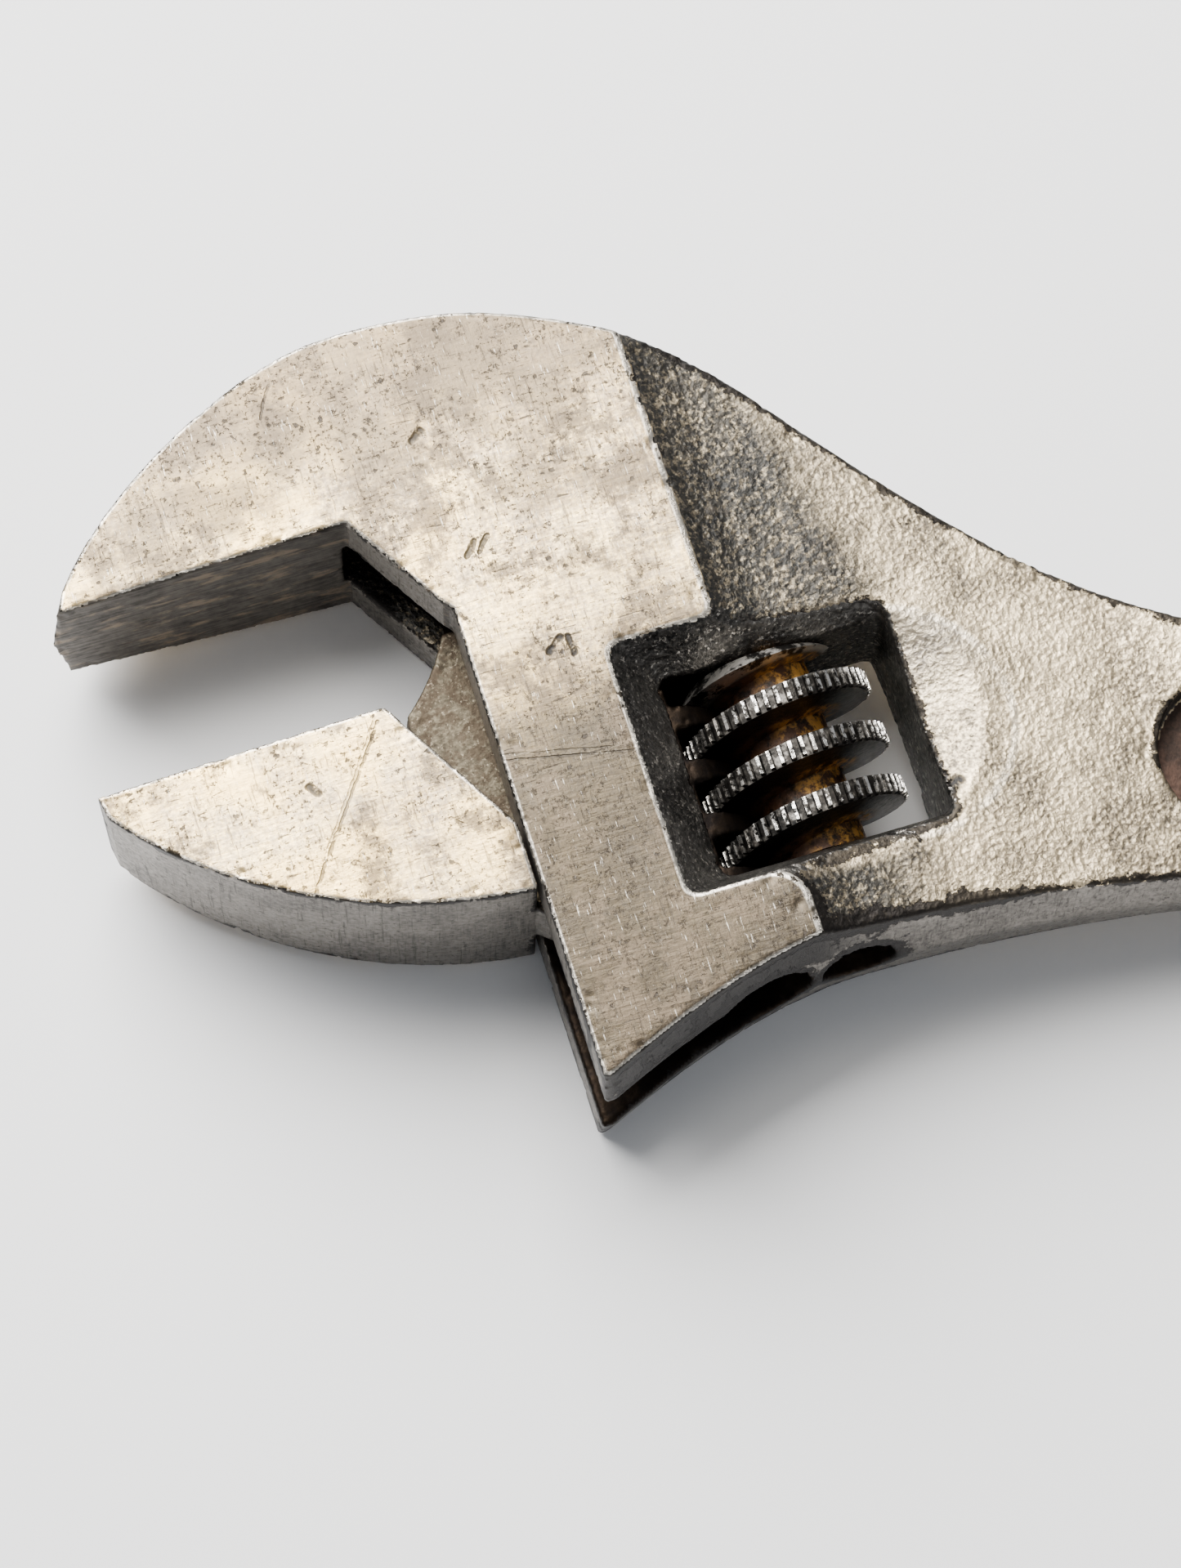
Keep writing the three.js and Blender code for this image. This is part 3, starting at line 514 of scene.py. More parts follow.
class ForgingLook:
    """Builds the finishes of a forged piece, one material to each zone.

    Args:
        name: the piece's name.
        ground_marks: scratches and dents on its upper ground face.
        neck_marks: chips on its neck.
    """

    def __init__(self, name: str, ground_marks: Iterable[Mark], neck_marks: Iterable[Mark]) -> None:
        self.name = name
        self.ground_marks = ground_marks
        self.neck_marks = neck_marks

    def material(self, zone: Zone) -> bpy.types.Material:
        """The finish of one zone."""
        build = SteelBuilder(f"{self.name}_{zone.value}")
        layer = getattr(self, zone.value)(build)
        return build.finish(layer)

    def forged(self, build: SteelBuilder) -> Layer:
        """The neck and the handle: painted shade on the slopes beside the ground face and along the neck's
        lower edge, broken by painted glints.
        """
        graph = build.graph
        x, y, _ = graph.head()
        layer = build.steel(FORGED_FINISH, 11.0)
        swell = graph.noise(1.3, 3, shift=2)
        pebble = graph.cells(0.42, 4.0)
        layer.height = layer.height + (swell - 0.5) * 0.13 + pebble * 0.045
        # Painted shade: the slopes beside the ground face and the neck's lower edge by the window are
        # darkened, with painted glints left lit.
        slope_edge = 23.2 + (7.3 - y) * 0.27
        upper = (slope_edge - x + (graph.noise(3.0, 4, shift=5) - 0.5) * 3.0).smooth(-2.4, 2.4)
        lower = y.smooth(-31.8, -33.4) * x.smooth(30.0, 21.0)
        shade = (upper * y.smooth(-15.8, -14.0)).most(lower)
        glints = graph.noise(0.45, 4, 0.7, shift=41).smooth(0.48, 0.66)
        layer = build.stain(layer, shade * (1 - glints * 0.42) * 0.96, (0.027, 0.028, 0.029), 0.38, 0.95)
        middle_x, middle_y, radius = SCOOP
        across, along = x - middle_x, y - middle_y
        scoop = graph.math("SQRT", across * across + along * along) - radius
        # Painted shade inside the thumb scoop towards its lower side, and a painted highlight along its rim.
        shaded = scoop.smooth(0.3, -0.3) * (y - x * 0.35).smooth(-37.0, -27.0) * 0.50
        layer = build.stain(layer, shaded, (0.30, 0.28, 0.26), 0.36, 1.0)
        rim_highlight = scoop.abs().smooth(0.42, 0.10) * graph.noise(2.0, 3, shift=7).smooth(0.34, 0.52) * (1 - shade)
        layer = build.stain(layer, rim_highlight * 0.45, (0.95, 0.84, 0.68), 0.30, 1.0)
        pits = graph.noise(0.32, 4, 0.7, shift=33).smooth(0.60, 0.68)
        layer = build.stain(layer, pits * 0.80, (0.08, 0.068, 0.056), 0.55, 0.6, 0.02)
        soot = graph.noise(3.5, 5, 0.7, shift=37).smooth(0.60, 0.72)
        layer = build.stain(layer, soot * 0.6, (0.10, 0.085, 0.07), 0.5, 0.8)
        return self.chipped(build, build.marks(layer, self.neck_marks))

    def side(self, build: SteelBuilder) -> Layer:
        """The forged outer walls, finished on a belt."""
        graph = build.graph
        layer = build.brush(build.steel(SIDE_FINISH, 23.0), (1.5, 1.5, 30.0), 0.02, 5.0)
        lines = graph.noise(0.20, 3, 0.6, stretch=(1, 1, 26), shift=29).smooth(0.57, 0.68)
        layer = build.stain(layer, lines * 0.60, (0.05, 0.045, 0.04), 0.55, 0.7, 0.01)
        freckles = graph.noise(0.45, 4, 0.7, shift=9).smooth(0.56, 0.66)
        layer = build.stain(layer, freckles * 0.65, SCALE_BLACK, 0.6, 0.5, 0.02)
        x, y, z = graph.head()
        ragged = (graph.noise(2.0, 5, 0.7, shift=87) - 0.5) * 5.0
        band = z.smooth(7.2, 6.8) * (z + ragged).smooth(3.2, 3.8)
        below = y.smooth(-30.0, -32.0) * x.smooth(22.0, 16.0) * x.smooth(0.4, 1.2)
        layer = build.stain(layer, band * below * 0.95, SCALE_BLACK, 0.42, 0.9, 0.06)
        return self.chipped(build, layer)

    def ground(self, build: SteelBuilder) -> Layer:
        """The ground faces: darker towards the heel and the crown, with tarnish, pits, handling marks and a
        painted highlight along their edges.
        """
        graph = build.graph
        x, y, _ = graph.head()
        layer = build.brush(build.steel(GROUND_FINISH, 0.0), (30.0, 3.0, 3.0), 0.018)
        layer = build.brush(layer, (2.0, 24.0, 3.0), 0.014, 12.0)
        warm = graph.noise(7.0, 3, 0.5, shift=17).smooth(0.44, 0.64) * x.smooth(14.0, -8.0)
        layer = build.stain(layer, warm * 0.65, (0.95, 0.66, 0.26), 0.30, 1.0)
        drift = (graph.noise(8.0, 4, 0.6, shift=21) - 0.5) * 12.0
        # The ground face is darker towards the heel and towards the crown.
        heel = (y + drift).smooth(-8.0, -20.0) * x.smooth(-2.0, 0.0)
        layer = build.stain(layer, heel * 0.95, (0.046, 0.040, 0.033), 0.34, 1.0)
        crown = (y + drift * 0.6).smooth(0.0, 9.0)
        layer = build.stain(layer, crown * 0.84, (0.12, 0.093, 0.067), 0.36, 1.0)
        cloud = graph.noise(12.0, 6, 0.68, shift=71).smooth(0.47, 0.60)
        layer = build.stain(layer, cloud * y.smooth(-12.0, -6.0) * 0.74, (0.135, 0.106, 0.072), 0.38, 1.0)
        blotch = graph.noise(4.5, 7, 0.78, shift=4).smooth(0.47, 0.60)
        layer = build.stain(layer, blotch * 0.84, (0.115, 0.090, 0.064), 0.40, 0.98)
        freckled = graph.noise(6.0, 3, shift=6).smooth(0.38, 0.60)
        ragged = (graph.noise(0.35, 4, 0.7, shift=61) - 0.5) * 0.9
        pits = (graph.cells(1.1, 2.0) + ragged).smooth(0.16, 0.07) * freckled
        layer = build.stain(layer, pits * 0.85, (0.06, 0.048, 0.038), 0.6, 0.5, 0.03)
        specks = graph.noise(0.36, 5, 0.80, shift=31).smooth(0.56, 0.64)
        specks = specks * graph.noise(3.0, 4, 0.6, shift=8).smooth(0.38, 0.54)
        layer = build.stain(layer, specks * 0.85, (0.09, 0.072, 0.056), 0.6, 0.5, 0.02)
        nicks = graph.noise(0.14, 3, 0.6, stretch=(1, 9, 9), shift=40).smooth(0.64, 0.70)
        layer = build.stain(layer, nicks * 0.30, (1.0, 0.93, 0.82), 0.22, 1.0, 0.01)
        cuts = graph.noise(0.16, 3, 0.6, stretch=(10, 1.2, 9), shift=44).smooth(0.66, 0.71)
        layer = build.stain(layer, cuts * 0.75, (0.06, 0.05, 0.04), 0.5, 0.8, 0.02)
        hairs = graph.noise(0.11, 3, 0.6, stretch=(2, 22, 9), shift=47).smooth(0.60, 0.68)
        layer = build.stain(layer, hairs * 0.45, (0.05, 0.042, 0.033), 0.5, 0.9, 0.01)
        layer = build.marks(layer, self.ground_marks)
        edge = graph.attribute(Trace.EDGE)
        patchy = graph.noise(4.0, 3, 0.5, shift=57)
        bitten = (graph.noise(0.5, 5, 0.7, shift=27) - 0.5) * 1.1
        nibble = (edge + bitten + (patchy - 0.5) * 0.7).smooth(0.98, 1.06)
        # A painted highlight along the ground face's edges, left out where the edge is chipped.
        rim_highlight = edge.smooth(0.80, 0.92) * graph.noise(2.5, 3, shift=59).smooth(0.25, 0.45) * (1 - nibble)
        layer = build.stain(layer, nibble * 0.90, (0.022, 0.019, 0.016), 0.5, 0.9, 0.04)
        layer = build.stain(layer, rim_highlight * 0.70, (1.0, 0.93, 0.82), 0.24, 1.0)
        return self.grimy(build, layer)

    def web(self, build: SteelBuilder) -> Layer:
        """The jaw's web: bare steel darkened by painted shadow from the head, freckled with rust."""
        graph = build.graph
        layer = build.steel(WEB_STEEL_AND_SHADOW_FINISH, 81.0)
        rust = graph.noise(0.9, 5, 0.7, shift=83).smooth(0.44, 0.58)
        layer = build.stain(layer, rust * 0.6, (0.040, 0.023, 0.011), 0.6, 0.6)
        specks = graph.noise(0.3, 4, 0.7, shift=85).smooth(0.58, 0.66)
        return self.grimy(build, build.stain(layer, specks * 0.7, (0.20, 0.17, 0.125), 0.4, 0.9))

    def window(self, build: SteelBuilder) -> Layer:
        """The walls around the worm, dark and rough as forged."""
        layer = build.steel(WINDOW_FINISH, 51.0)
        layer.height = layer.height + (build.graph.noise(0.7, 3, shift=53) - 0.5) * 0.16
        glints = build.graph.noise(0.38, 4, 0.7, shift=55).smooth(0.56, 0.66)
        layer = build.stain(layer, glints * 0.75, (0.62, 0.58, 0.53), 0.26, 1.0)
        return self.grimy(build, layer)

    def panel(self, build: SteelBuilder) -> Layer:
        """The floor of the handle's panel."""
        return self.grimy(build, build.steel(PANEL_FINISH, 71.0))

    def mouth(self, build: SteelBuilder) -> Layer:
        """The fixed jaw's inner face and the throat, dark with old grease and with painted shade."""
        layer = build.brush(build.steel(MOUTH_GREASE_AND_SHADE_FINISH, 61.0), (30.0, 3.0, 3.0), 0.010)
        tan = build.graph.noise(1.4, 5, 0.65, stretch=(3, 1, 1), shift=13).smooth(0.52, 0.64)
        return self.grimy(build, build.stain(layer, tan * 0.55, (0.34, 0.26, 0.18), 0.6, 0.5))

    def hollow(self, build: SteelBuilder) -> Layer:
        """The slide's keyhole, the pin's bore and the rail, black with oil."""
        return build.steel(HOLLOW_FINISH, 91.0)

    def chipped(self, build: SteelBuilder, layer: Layer) -> Layer:
        """Black chips along the sharp edges, most of all under the worm."""
        graph = build.graph
        x, y, _ = graph.head()
        heel = y.smooth(-31.0, -35.0) * x.smooth(34.0, 22.0) * x.smooth(-1.0, 0.5) * 0.46
        ragged = (graph.noise(0.55, 5, 0.7, shift=19) - 0.5) * 1.2
        patchy = (graph.noise(4.0, 3, 0.5, shift=57) - 0.5) * 1.3
        chips = (graph.attribute(Trace.EDGE) + ragged + patchy + heel).smooth(0.76, 0.84)
        return self.grimy(build, build.stain(layer, chips * 0.96, SCALE_BLACK, 0.45, 0.9, 0.06))

    def grimy(self, build: SteelBuilder, layer: Layer) -> Layer:
        """Dark grime in the corners."""
        graph = build.graph
        grime = graph.attribute(Trace.GRIME) * graph.noise(0.9, 4, 0.6, shift=3).smooth(0.20, 0.52)
        return build.stain(layer, grime * 0.92, (0.014, 0.010, 0.007), 0.6, 0.7)


def worm_material() -> bpy.types.Material:
    """Oil-black flanks, rust in the roots and bright worn teeth, with painted highlights on their tips and
    painted reflections on their sides.
    """
    build = SteelBuilder("worm_steel")
    graph = build.graph
    x, y, z = graph.head()
    radius = graph.math("SQRT", (x - WORM_X) * (x - WORM_X) + z * z)
    layer = build.steel(WORM_FINISH, 5.0)
    rust = graph.noise(1.6, 5, 0.65, shift=2).smooth(0.34, 0.54) * x.smooth(14.0, 17.0)
    root = radius.smooth(4.9, 4.1)
    gold = graph.noise(1.0, 5, 0.7, shift=8).smooth(0.44, 0.58) * x.smooth(18.0, 20.0) * x.smooth(25.5, 23.0)
    layer.color = graph.blend(root * rust * 0.95, layer.color, graph.blend(gold, RUST_DARK, RUST_LIGHT))
    layer.metallic = graph.number_blend(root * rust, layer.metallic, 0.25)
    layer.roughness = graph.number_blend(root * rust, layer.roughness, 0.5)
    oil = graph.noise(0.8, 4, 0.7, shift=10).smooth(0.52, 0.64)
    layer = build.stain(layer, root * oil * 0.8, SCALE_BLACK, 0.35, 0.6)
    # The teeth's crest tips: bright wear with a painted highlight; their sides get a painted reflection.
    tip = radius.smooth(6.74, 6.90) * graph.noise(0.45, 4, 0.7, shift=4).smooth(0.43, 0.58)
    layer = build.stain(layer, tip, (0.92, 0.89, 0.84), 0.22, 1.0)
    painted_side_reflection = radius.smooth(6.30, 6.60) * graph.noise(0.7, 4, shift=12).smooth(0.50, 0.66)
    layer = build.stain(layer, painted_side_reflection * 0.22, (0.50, 0.47, 0.43), 0.34, 1.0)
    polished = y.smooth(-19.3, -18.5) * radius.smooth(4.4, 5.0)
    patch = graph.noise(1.3, 5, 0.7, shift=6).smooth(0.42, 0.54)
    layer = build.stain(layer, polished * patch, (0.74, 0.71, 0.66), 0.38, 1.0)
    return build.finish(layer)


def small_steel(name: str, light: float, dark: float, roughness: float) -> bpy.types.Material:
    """A plain darkened steel for the pin and the spring."""
    build = SteelBuilder(name)
    bright = (light, light * 0.97, light * 0.93)
    dull = (dark, dark * 0.96, dark * 0.9)
    finish = Steel(bright, dull, roughness, 0.12, 0.95, 0.4, 0.015)
    layer = build.steel(finish, 3.0)
    spots = build.graph.noise(0.5, 4, 0.7, shift=14).smooth(0.58, 0.68) * 0.7
    return build.finish(build.stain(layer, spots, SCALE_BLACK, 0.6, 0.4, 0.01))


# ---- Meshes -------------------------------------------------------------------------------------


def merged_copy(node: str) -> bmesh.types.BMesh:
    """The CAD node's mesh with its split vertices joined."""
    mesh = bmesh.new()
    mesh.from_mesh(frame["nodes"][node].data)
    bmesh.ops.remove_doubles(mesh, verts=mesh.verts, dist=1e-6)
    return mesh


def sharp_edge_points(mesh: bmesh.types.BMesh, degrees: float, spacing: float) -> kdtree.KDTree:
    """Points along the edges that turn by more than an angle.

    Args:
        mesh: the joined mesh.
        degrees: the least turn between the faces of a sharp edge.
        spacing: distance between the points, in metres.
    """
    limit = math.radians(degrees)
    spots: list[Vector] = []
    for edge in mesh.edges:
        if len(edge.link_faces) == 2 and edge.calc_face_angle() > limit and edge.is_convex:
            a, b = (v.co for v in edge.verts)
            count = max(1, math.ceil((b - a).length / spacing))
            spots.extend(a.lerp(b, index / count) for index in range(count + 1))
    tree = kdtree.KDTree(len(spots))
    for index, spot in enumerate(spots):
        tree.insert(spot, index)
    tree.balance()
    return tree


def new_object(name: str, mesh: bpy.types.Mesh) -> bpy.types.Object:
    """Links a mesh into the scene."""
    made = bpy.data.objects.new(name, mesh)
    bpy.context.scene.collection.objects.link(made)
    return made


def baked(source: bpy.types.Object) -> bpy.types.Object:
    """Turns an object's modifiers into a plain mesh.

    Args:
        source: the object, whose own mesh is replaced.

    Returns:
        The same object with no modifiers.
    """
    bpy.context.view_layer.update()
    evaluated = source.evaluated_get(bpy.context.evaluated_depsgraph_get())
    mesh = bpy.data.meshes.new_from_object(evaluated)
    source.modifiers.clear()
    source.data = mesh
    return source


def points_of(mesh: bpy.types.Mesh) -> np.ndarray:
    """Vertex positions."""
    values = np.empty(len(mesh.vertices) * 3, np.float32)
    mesh.vertices.foreach_get("co", values)
    return values.reshape(-1, 3).astype(float)


def normals_of(mesh: bpy.types.Mesh) -> np.ndarray:
    """Vertex normals."""
    values = np.empty(len(mesh.vertices) * 3, np.float32)
    mesh.vertices.foreach_get("normal", values)
    return values.reshape(-1, 3).astype(float)


def triangle_count(mesh: bpy.types.Mesh) -> int:
    """Number of triangles that the mesh's faces make."""
    return sum(len(polygon.vertices) - 2 for polygon in mesh.polygons)


def smoothstep(low: float, high: float, values: np.ndarray) -> np.ndarray:
    """0 below low, 1 above high and smooth between."""
    share = np.clip((values - low) / (high - low), 0, 1)
    return share * share * (3 - 2 * share)


def smooth_by_angle(made: bpy.types.Object, degrees: float) -> None:
    """Keeps the edges that turn by more than an angle crisp."""
    mesh = bmesh.new()
    mesh.from_mesh(made.data)
    for edge in mesh.edges:
        edge.smooth = len(edge.link_faces) == 2 and edge.calc_face_angle() < math.radians(degrees)
    mesh.to_mesh(made.data)
    mesh.free()


def store(mesh: bpy.types.Mesh, trace: Trace, values: np.ndarray) -> None:
    """Writes a point attribute."""
    attribute = mesh.attributes.new(trace.value, "FLOAT", "POINT")
    attribute.data.foreach_set("value", values.astype(np.float32))


class Piece:
    """A visible piece that stands for one CAD node.

    Args:
        name: the visible piece's name.
        node: the CAD node that it replaces.
        body: the CAD body that it rides on.
    """

    def __init__(self, name: str, node: str, body: str) -> None:
        self.name = name
        self.node = node
        self.body = body
        self.finishes: list[bpy.types.Material] = []
        self.log = LOG.getChild(name)

    def build(self) -> bpy.types.Object:
        """Makes the piece's object, in place in the row frame."""
        raise NotImplementedError

    def materials(self) -> list[bpy.types.Material]:
        """Makes the piece's materials, in the order of its material slots."""
        raise NotImplementedError

    def add(self) -> bpy.types.Object:
        """Builds the piece, finishes it and fixes it to its body."""
        self.finishes = self.materials()
        made = self.build()
        made.name = self.name
        for material in self.finishes:
            made.data.materials.append(material)
        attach(made, self.body)
        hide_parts(self.node)
        self.log.info("%d triangles on body %s", triangle_count(made.data), self.body)
        return made


class ForgedPiece(Piece):
    """A forging: a fine copy of its CAD node with rounded, chipped edges.

    Args:
        name: the visible piece's name.
        node: the CAD node.
        body: the CAD body.
        refining: how fine the copy is.
        marks: scratches and dents on the upper face.
    """

    REACH = 1.6  # millimetres from a sharp edge to where its wear ends

    def __init__(self, name: str, node: str, body: str, refining: Refining, marks: Sequence[Mark]) -> None:
        super().__init__(name, node, body)
        self.refining = refining
        self.marks = marks
        self.sizes = HeadSizes()

    def materials(self) -> list[bpy.types.Material]:
        """Forged, ground and grimy steel, a material to each zone."""
        look = ForgingLook(self.name, self.marks, NECK_MARKS)
        return [look.material(zone) for zone in Zone]

    def refined(self, source: bmesh.types.BMesh) -> bpy.types.Object:
        """A fine, evenly meshed copy with its edges slightly rounded."""
        coarse = bpy.data.meshes.new(self.name)
        source.to_mesh(coarse)
        made = new_object(self.name, coarse)
        cells = made.modifiers.new("cells", "REMESH")
        cells.mode = "VOXEL"
        cells.voxel_size = self.refining.voxel * MM * 1.0
        rounding = made.modifiers.new("rounding", "SMOOTH")
        rounding.factor = self.refining.smoothing_factor
        rounding.iterations = self.refining.smoothing
        return baked(made)

    def chipped(self, made: bpy.types.Object, edges: kdtree.KDTree) -> None:
        """Pushes the surface in at scattered places along the sharp edges."""
        mesh = made.data
        points, normals = points_of(mesh), normals_of(mesh)
        gaps = np.array([edges.find(point)[2] for point in points]) / MM
        near = np.flatnonzero(gaps < self.REACH)
        depth = np.zeros(len(points))
        for index in near:
            spot = Vector(points[index]) / MM
            rough = noise.noise(spot * 0.7) * 0.6 + noise.noise(spot * 2.1) * 0.4
            depth[index] = max(0.0, rough - 0.18) * 0.50 * (1 - gaps[index] / self.REACH)
        moved = points - normals * (depth * MM)[:, None]
        mesh.vertices.foreach_set("co", moved.astype(np.float32).ravel())
        mesh.update()

    def thinned(self, made: bpy.types.Object) -> bpy.types.Object:
        """Fewer triangles where the surface is flat."""
        count = triangle_count(made.data)
        if count > self.refining.triangles:
            fewer = made.modifiers.new("fewer", "DECIMATE")
            fewer.ratio = self.refining.triangles / count
            made = baked(made)
        return made

    def grime(self, points: np.ndarray, normals: np.ndarray, mesh: bpy.types.Mesh) -> np.ndarray:
        """How shut in each point is, from rays cast around it."""
        tree = BVHTree.FromPolygons(
            [tuple(point) for point in points],
            [tuple(polygon.vertices) for polygon in mesh.polygons],
        )
        randomness = np.random.default_rng(SEED)
        spread = randomness.normal(size=(14, 3))
        spread /= np.linalg.norm(spread, axis=1)[:, None]
        reach = 4.0 * MM
        shut = np.zeros(len(points))
        for index, (point, normal) in enumerate(zip(points, normals)):
            start = Vector(point + normal * 0.15 * MM)
            total = 0.0
            for ray in spread:
                direction = Vector(normal * 1.15 + ray)
                hit = tree.ray_cast(start, direction.normalized(), reach)
                if hit[0] is not None:
                    total += 1 - hit[3] / reach * 0.6
            shut[index] = total / len(spread)
        return shut

    def zones(self, places: np.ndarray, facing: np.ndarray) -> np.ndarray:
        """The zone of each face, as its place in Zone.

        Args:
            places: middles of the faces in the head's frame.
            facing: their directions there.
        """
        x, _, z = places.T
        face = self.sizes.face_height(x)
        found = np.full(len(places), self.slot(Zone.FORGED))
        found[np.abs(facing[:, 2]) < 0.65] = self.slot(Zone.SIDE)
        found[(np.abs(np.abs(z) - face) < 0.16) & (np.abs(facing[:, 2]) > 0.82)] = self.slot(Zone.GROUND)
        return found

    @staticmethod
    def slot(zone: Zone) -> int:
        """A zone's material slot."""
        return list(Zone).index(zone)

    def build(self) -> bpy.types.Object:
        """Refines, chips and thins the copy, then stores its traces and its zones."""
        source = merged_copy(self.node)
        edges = sharp_edge_points(source, self.refining.sharp_degrees, 0.15 * MM)
        made = self.refined(source)
        source.free()
        self.chipped(made, edges)
        made = self.thinned(made)
        mesh = made.data
        points, normals = points_of(mesh), normals_of(mesh)
        gaps = np.array([edges.find(point)[2] for point in points]) / MM
        store(mesh, Trace.EDGE, 1 - np.clip(gaps / self.REACH, 0, 1))
        shut = self.grime(points, normals, mesh)
        store(mesh, Trace.GRIME, smoothstep(0.25, 0.75, shut))
        centres = np.array([polygon.center for polygon in mesh.polygons])
        facing = np.array([polygon.normal for polygon in mesh.polygons])
        zones = self.zones(HEAD.local(centres), HEAD.local_directions(facing))
        mesh.materials.clear()
        mesh.polygons.foreach_set("material_index", zones.astype(np.int32))
        mesh.shade_smooth()
        return made


class Body(ForgedPiece):
    """The forged body, with the window, the neck and the handle's panel."""

    def zones(self, places: np.ndarray, facing: np.ndarray) -> np.ndarray:
        """Adds the window's walls, the panel's floor, the mouth and the bores to the forging's zones."""
        found = super().zones(places, facing)
        ground = found == self.slot(Zone.GROUND)
        x, y, z = places.T
        upright = np.abs(facing[:, 2])
        left, right, bottom, top = self.sizes.window
        neck = self.sizes.neck_height(x)
        slope = (x > 16) & (np.abs(z) > neck - 0.4) & (upright > 0.35)
        found[slope & ~ground] = self.slot(Zone.FORGED)
        near = (x > left - 3.6) & (x < right + 0.3) & (y > bottom - 1.9) & (y < top + 2.7)
        found[near & ~ground & (upright < 0.90)] = self.slot(Zone.WINDOW)
        found[(x > 40) & (neck - np.abs(z) > 1.1) & (upright > 0.85)] = self.slot(Zone.PANEL)
        found[(facing[:, 1] < -0.6) & (y > -9.2) & (x < 0.2) & ~ground] = self.slot(Zone.MOUTH)
        keyhole = (x < RAIL_X) & (np.abs(z) < 3.25) & (x > 0.2) & (y < SLIDE_TOP)
        bored = (np.hypot(x - RAIL_X, z) < RAIL_BORE) & (y < SLIDE_TOP)
        pinned = (np.hypot(x - WORM_X, z) < PIN_BORE) & ((y < bottom) | (y > top))
        lip = (x > 0.05) & (x < 1.2) & (np.abs(z) < 3.6) & (y < SLIDE_TOP) & (upright > 0.65)
        found[keyhole | bored | pinned | lip] = self.slot(Zone.HOLLOW)
        return found


class Jaw(ForgedPiece):
    """The movable jaw, with its thin web and its rail."""

    def zones(self, places: np.ndarray, facing: np.ndarray) -> np.ndarray:
        """Adds the web and the rail to the forging's zones."""
        found = super().zones(places, facing)
        x, y, z = places.T
        behind = y > -13.3 - np.clip(x + 6.4, 0, None) * 10.5 / 6.1
        found[(x > -5.4) & (np.abs(z) < 3.1) & behind] = self.slot(Zone.WEB)
        found[x > 1.2] = self.slot(Zone.HOLLOW)
        return found


class Knurl(Piece):
    """The worm, with a row of bright teeth along its thread's crest."""

    PITCH = 4.0
    CREST_RADIUS = 6.95
    CREST_WIDTH = 1.5
    THREAD_Y = -28.0
    CUT = 0.34
    TOOTH_SPACING = 0.80
    TURNS = (-0.28, 2.30)

    def materials(self) -> list[bpy.types.Material]:
        """Worn knurled steel."""
        return [worm_material()]

    def build(self) -> bpy.types.Object:
        """Sinks the CAD thread's crest and sets teeth along it."""
        source = merged_copy(self.node)
        mesh = bpy.data.meshes.new(self.name)
        source.to_mesh(mesh)
        source.free()
        points = HEAD.local(points_of(mesh))
        across = np.hypot(points[:, 0] - WORM_X, points[:, 2])
        kept = np.minimum(across, self.CREST_RADIUS - self.CUT) / np.maximum(across, 1e-6)
        points[:, 0] = WORM_X + (points[:, 0] - WORM_X) * kept
        points[:, 2] *= kept
        mesh.materials.clear()
        mesh.vertices.foreach_set("co", points.astype(np.float32).ravel())
        mesh.transform(HEAD.matrix())
        mesh.shade_smooth()
        hub = new_object(self.name, mesh)
        smooth_by_angle(hub, 32.0)
        teeth = TeethTree(self).row()
        joined = bmesh.new()
        joined.from_mesh(hub.data)
        joined.from_mesh(teeth.data)
        for face in joined.faces:
            face.material_index = 0
        joined.to_mesh(hub.data)
        joined.free()
        hub.data.materials.clear()
        bpy.data.objects.remove(teeth)
        return hub


class TreeBuilder:
    """A Geometry Nodes tree with named inputs, run once and turned into a plain mesh.

    Args:
        name: the tree's name.
    """

    def __init__(self, name: str) -> None:
        self.tree = bpy.data.node_groups.new(name, "GeometryNodeTree")
        self.tree.interface.new_socket("Geometry", in_out="INPUT", socket_type="NodeSocketGeometry")
        self.tree.interface.new_socket("Geometry", in_out="OUTPUT", socket_type="NodeSocketGeometry")
        self.graph = Graph(self.tree)
        self.values: dict[str, float | int | bpy.types.Material] = {}
        self.sockets: dict[str, bpy.types.NodeTreeInterfaceSocket] = {}
        self.inlet: bpy.types.Node | None = None

    def inputs(self, **values: float | int | bpy.types.Material) -> dict[str, Wire]:
        """Adds the tree's named inputs and returns their wires."""
        kinds = {int: "NodeSocketInt", float: "NodeSocketFloat"}
        for name, value in values.items():
            kind = kinds.get(type(value), "NodeSocketMaterial")
            self.sockets[name] = self.tree.interface.new_socket(name, in_out="INPUT", socket_type=kind)
            self.values[name] = value
        self.inlet = self.graph.node("NodeGroupInput")
        return {name: Wire(self.graph, self.inlet.outputs[name]) for name in values}

    def node(self, kind: str, inputs: dict | None = None, output: int | str = 0, **settings: object) -> Wire:
        """Adds a node and returns one of its outputs."""
        return Wire(self.graph, self.graph.node(kind, inputs, **settings).outputs[output])

    def run(self, name: str, geometry: Wire, material: Wire) -> bpy.types.Object:
        """Ends the tree in real, finished geometry and makes it into an object's mesh."""
        real = self.node("GeometryNodeRealizeInstances", {"Geometry": geometry})
        coated = self.node("GeometryNodeSetMaterial", {"Geometry": real, "Material": material})
        self.graph.node("NodeGroupOutput", {"Geometry": coated})
        made = new_object(name, bpy.data.meshes.new(name))
        modifier = made.modifiers.new(name, "NODES")
        modifier.node_group = self.tree
        for key, value in self.values.items():
            modifier[self.sockets[key].identifier] = value
        return baked(made)


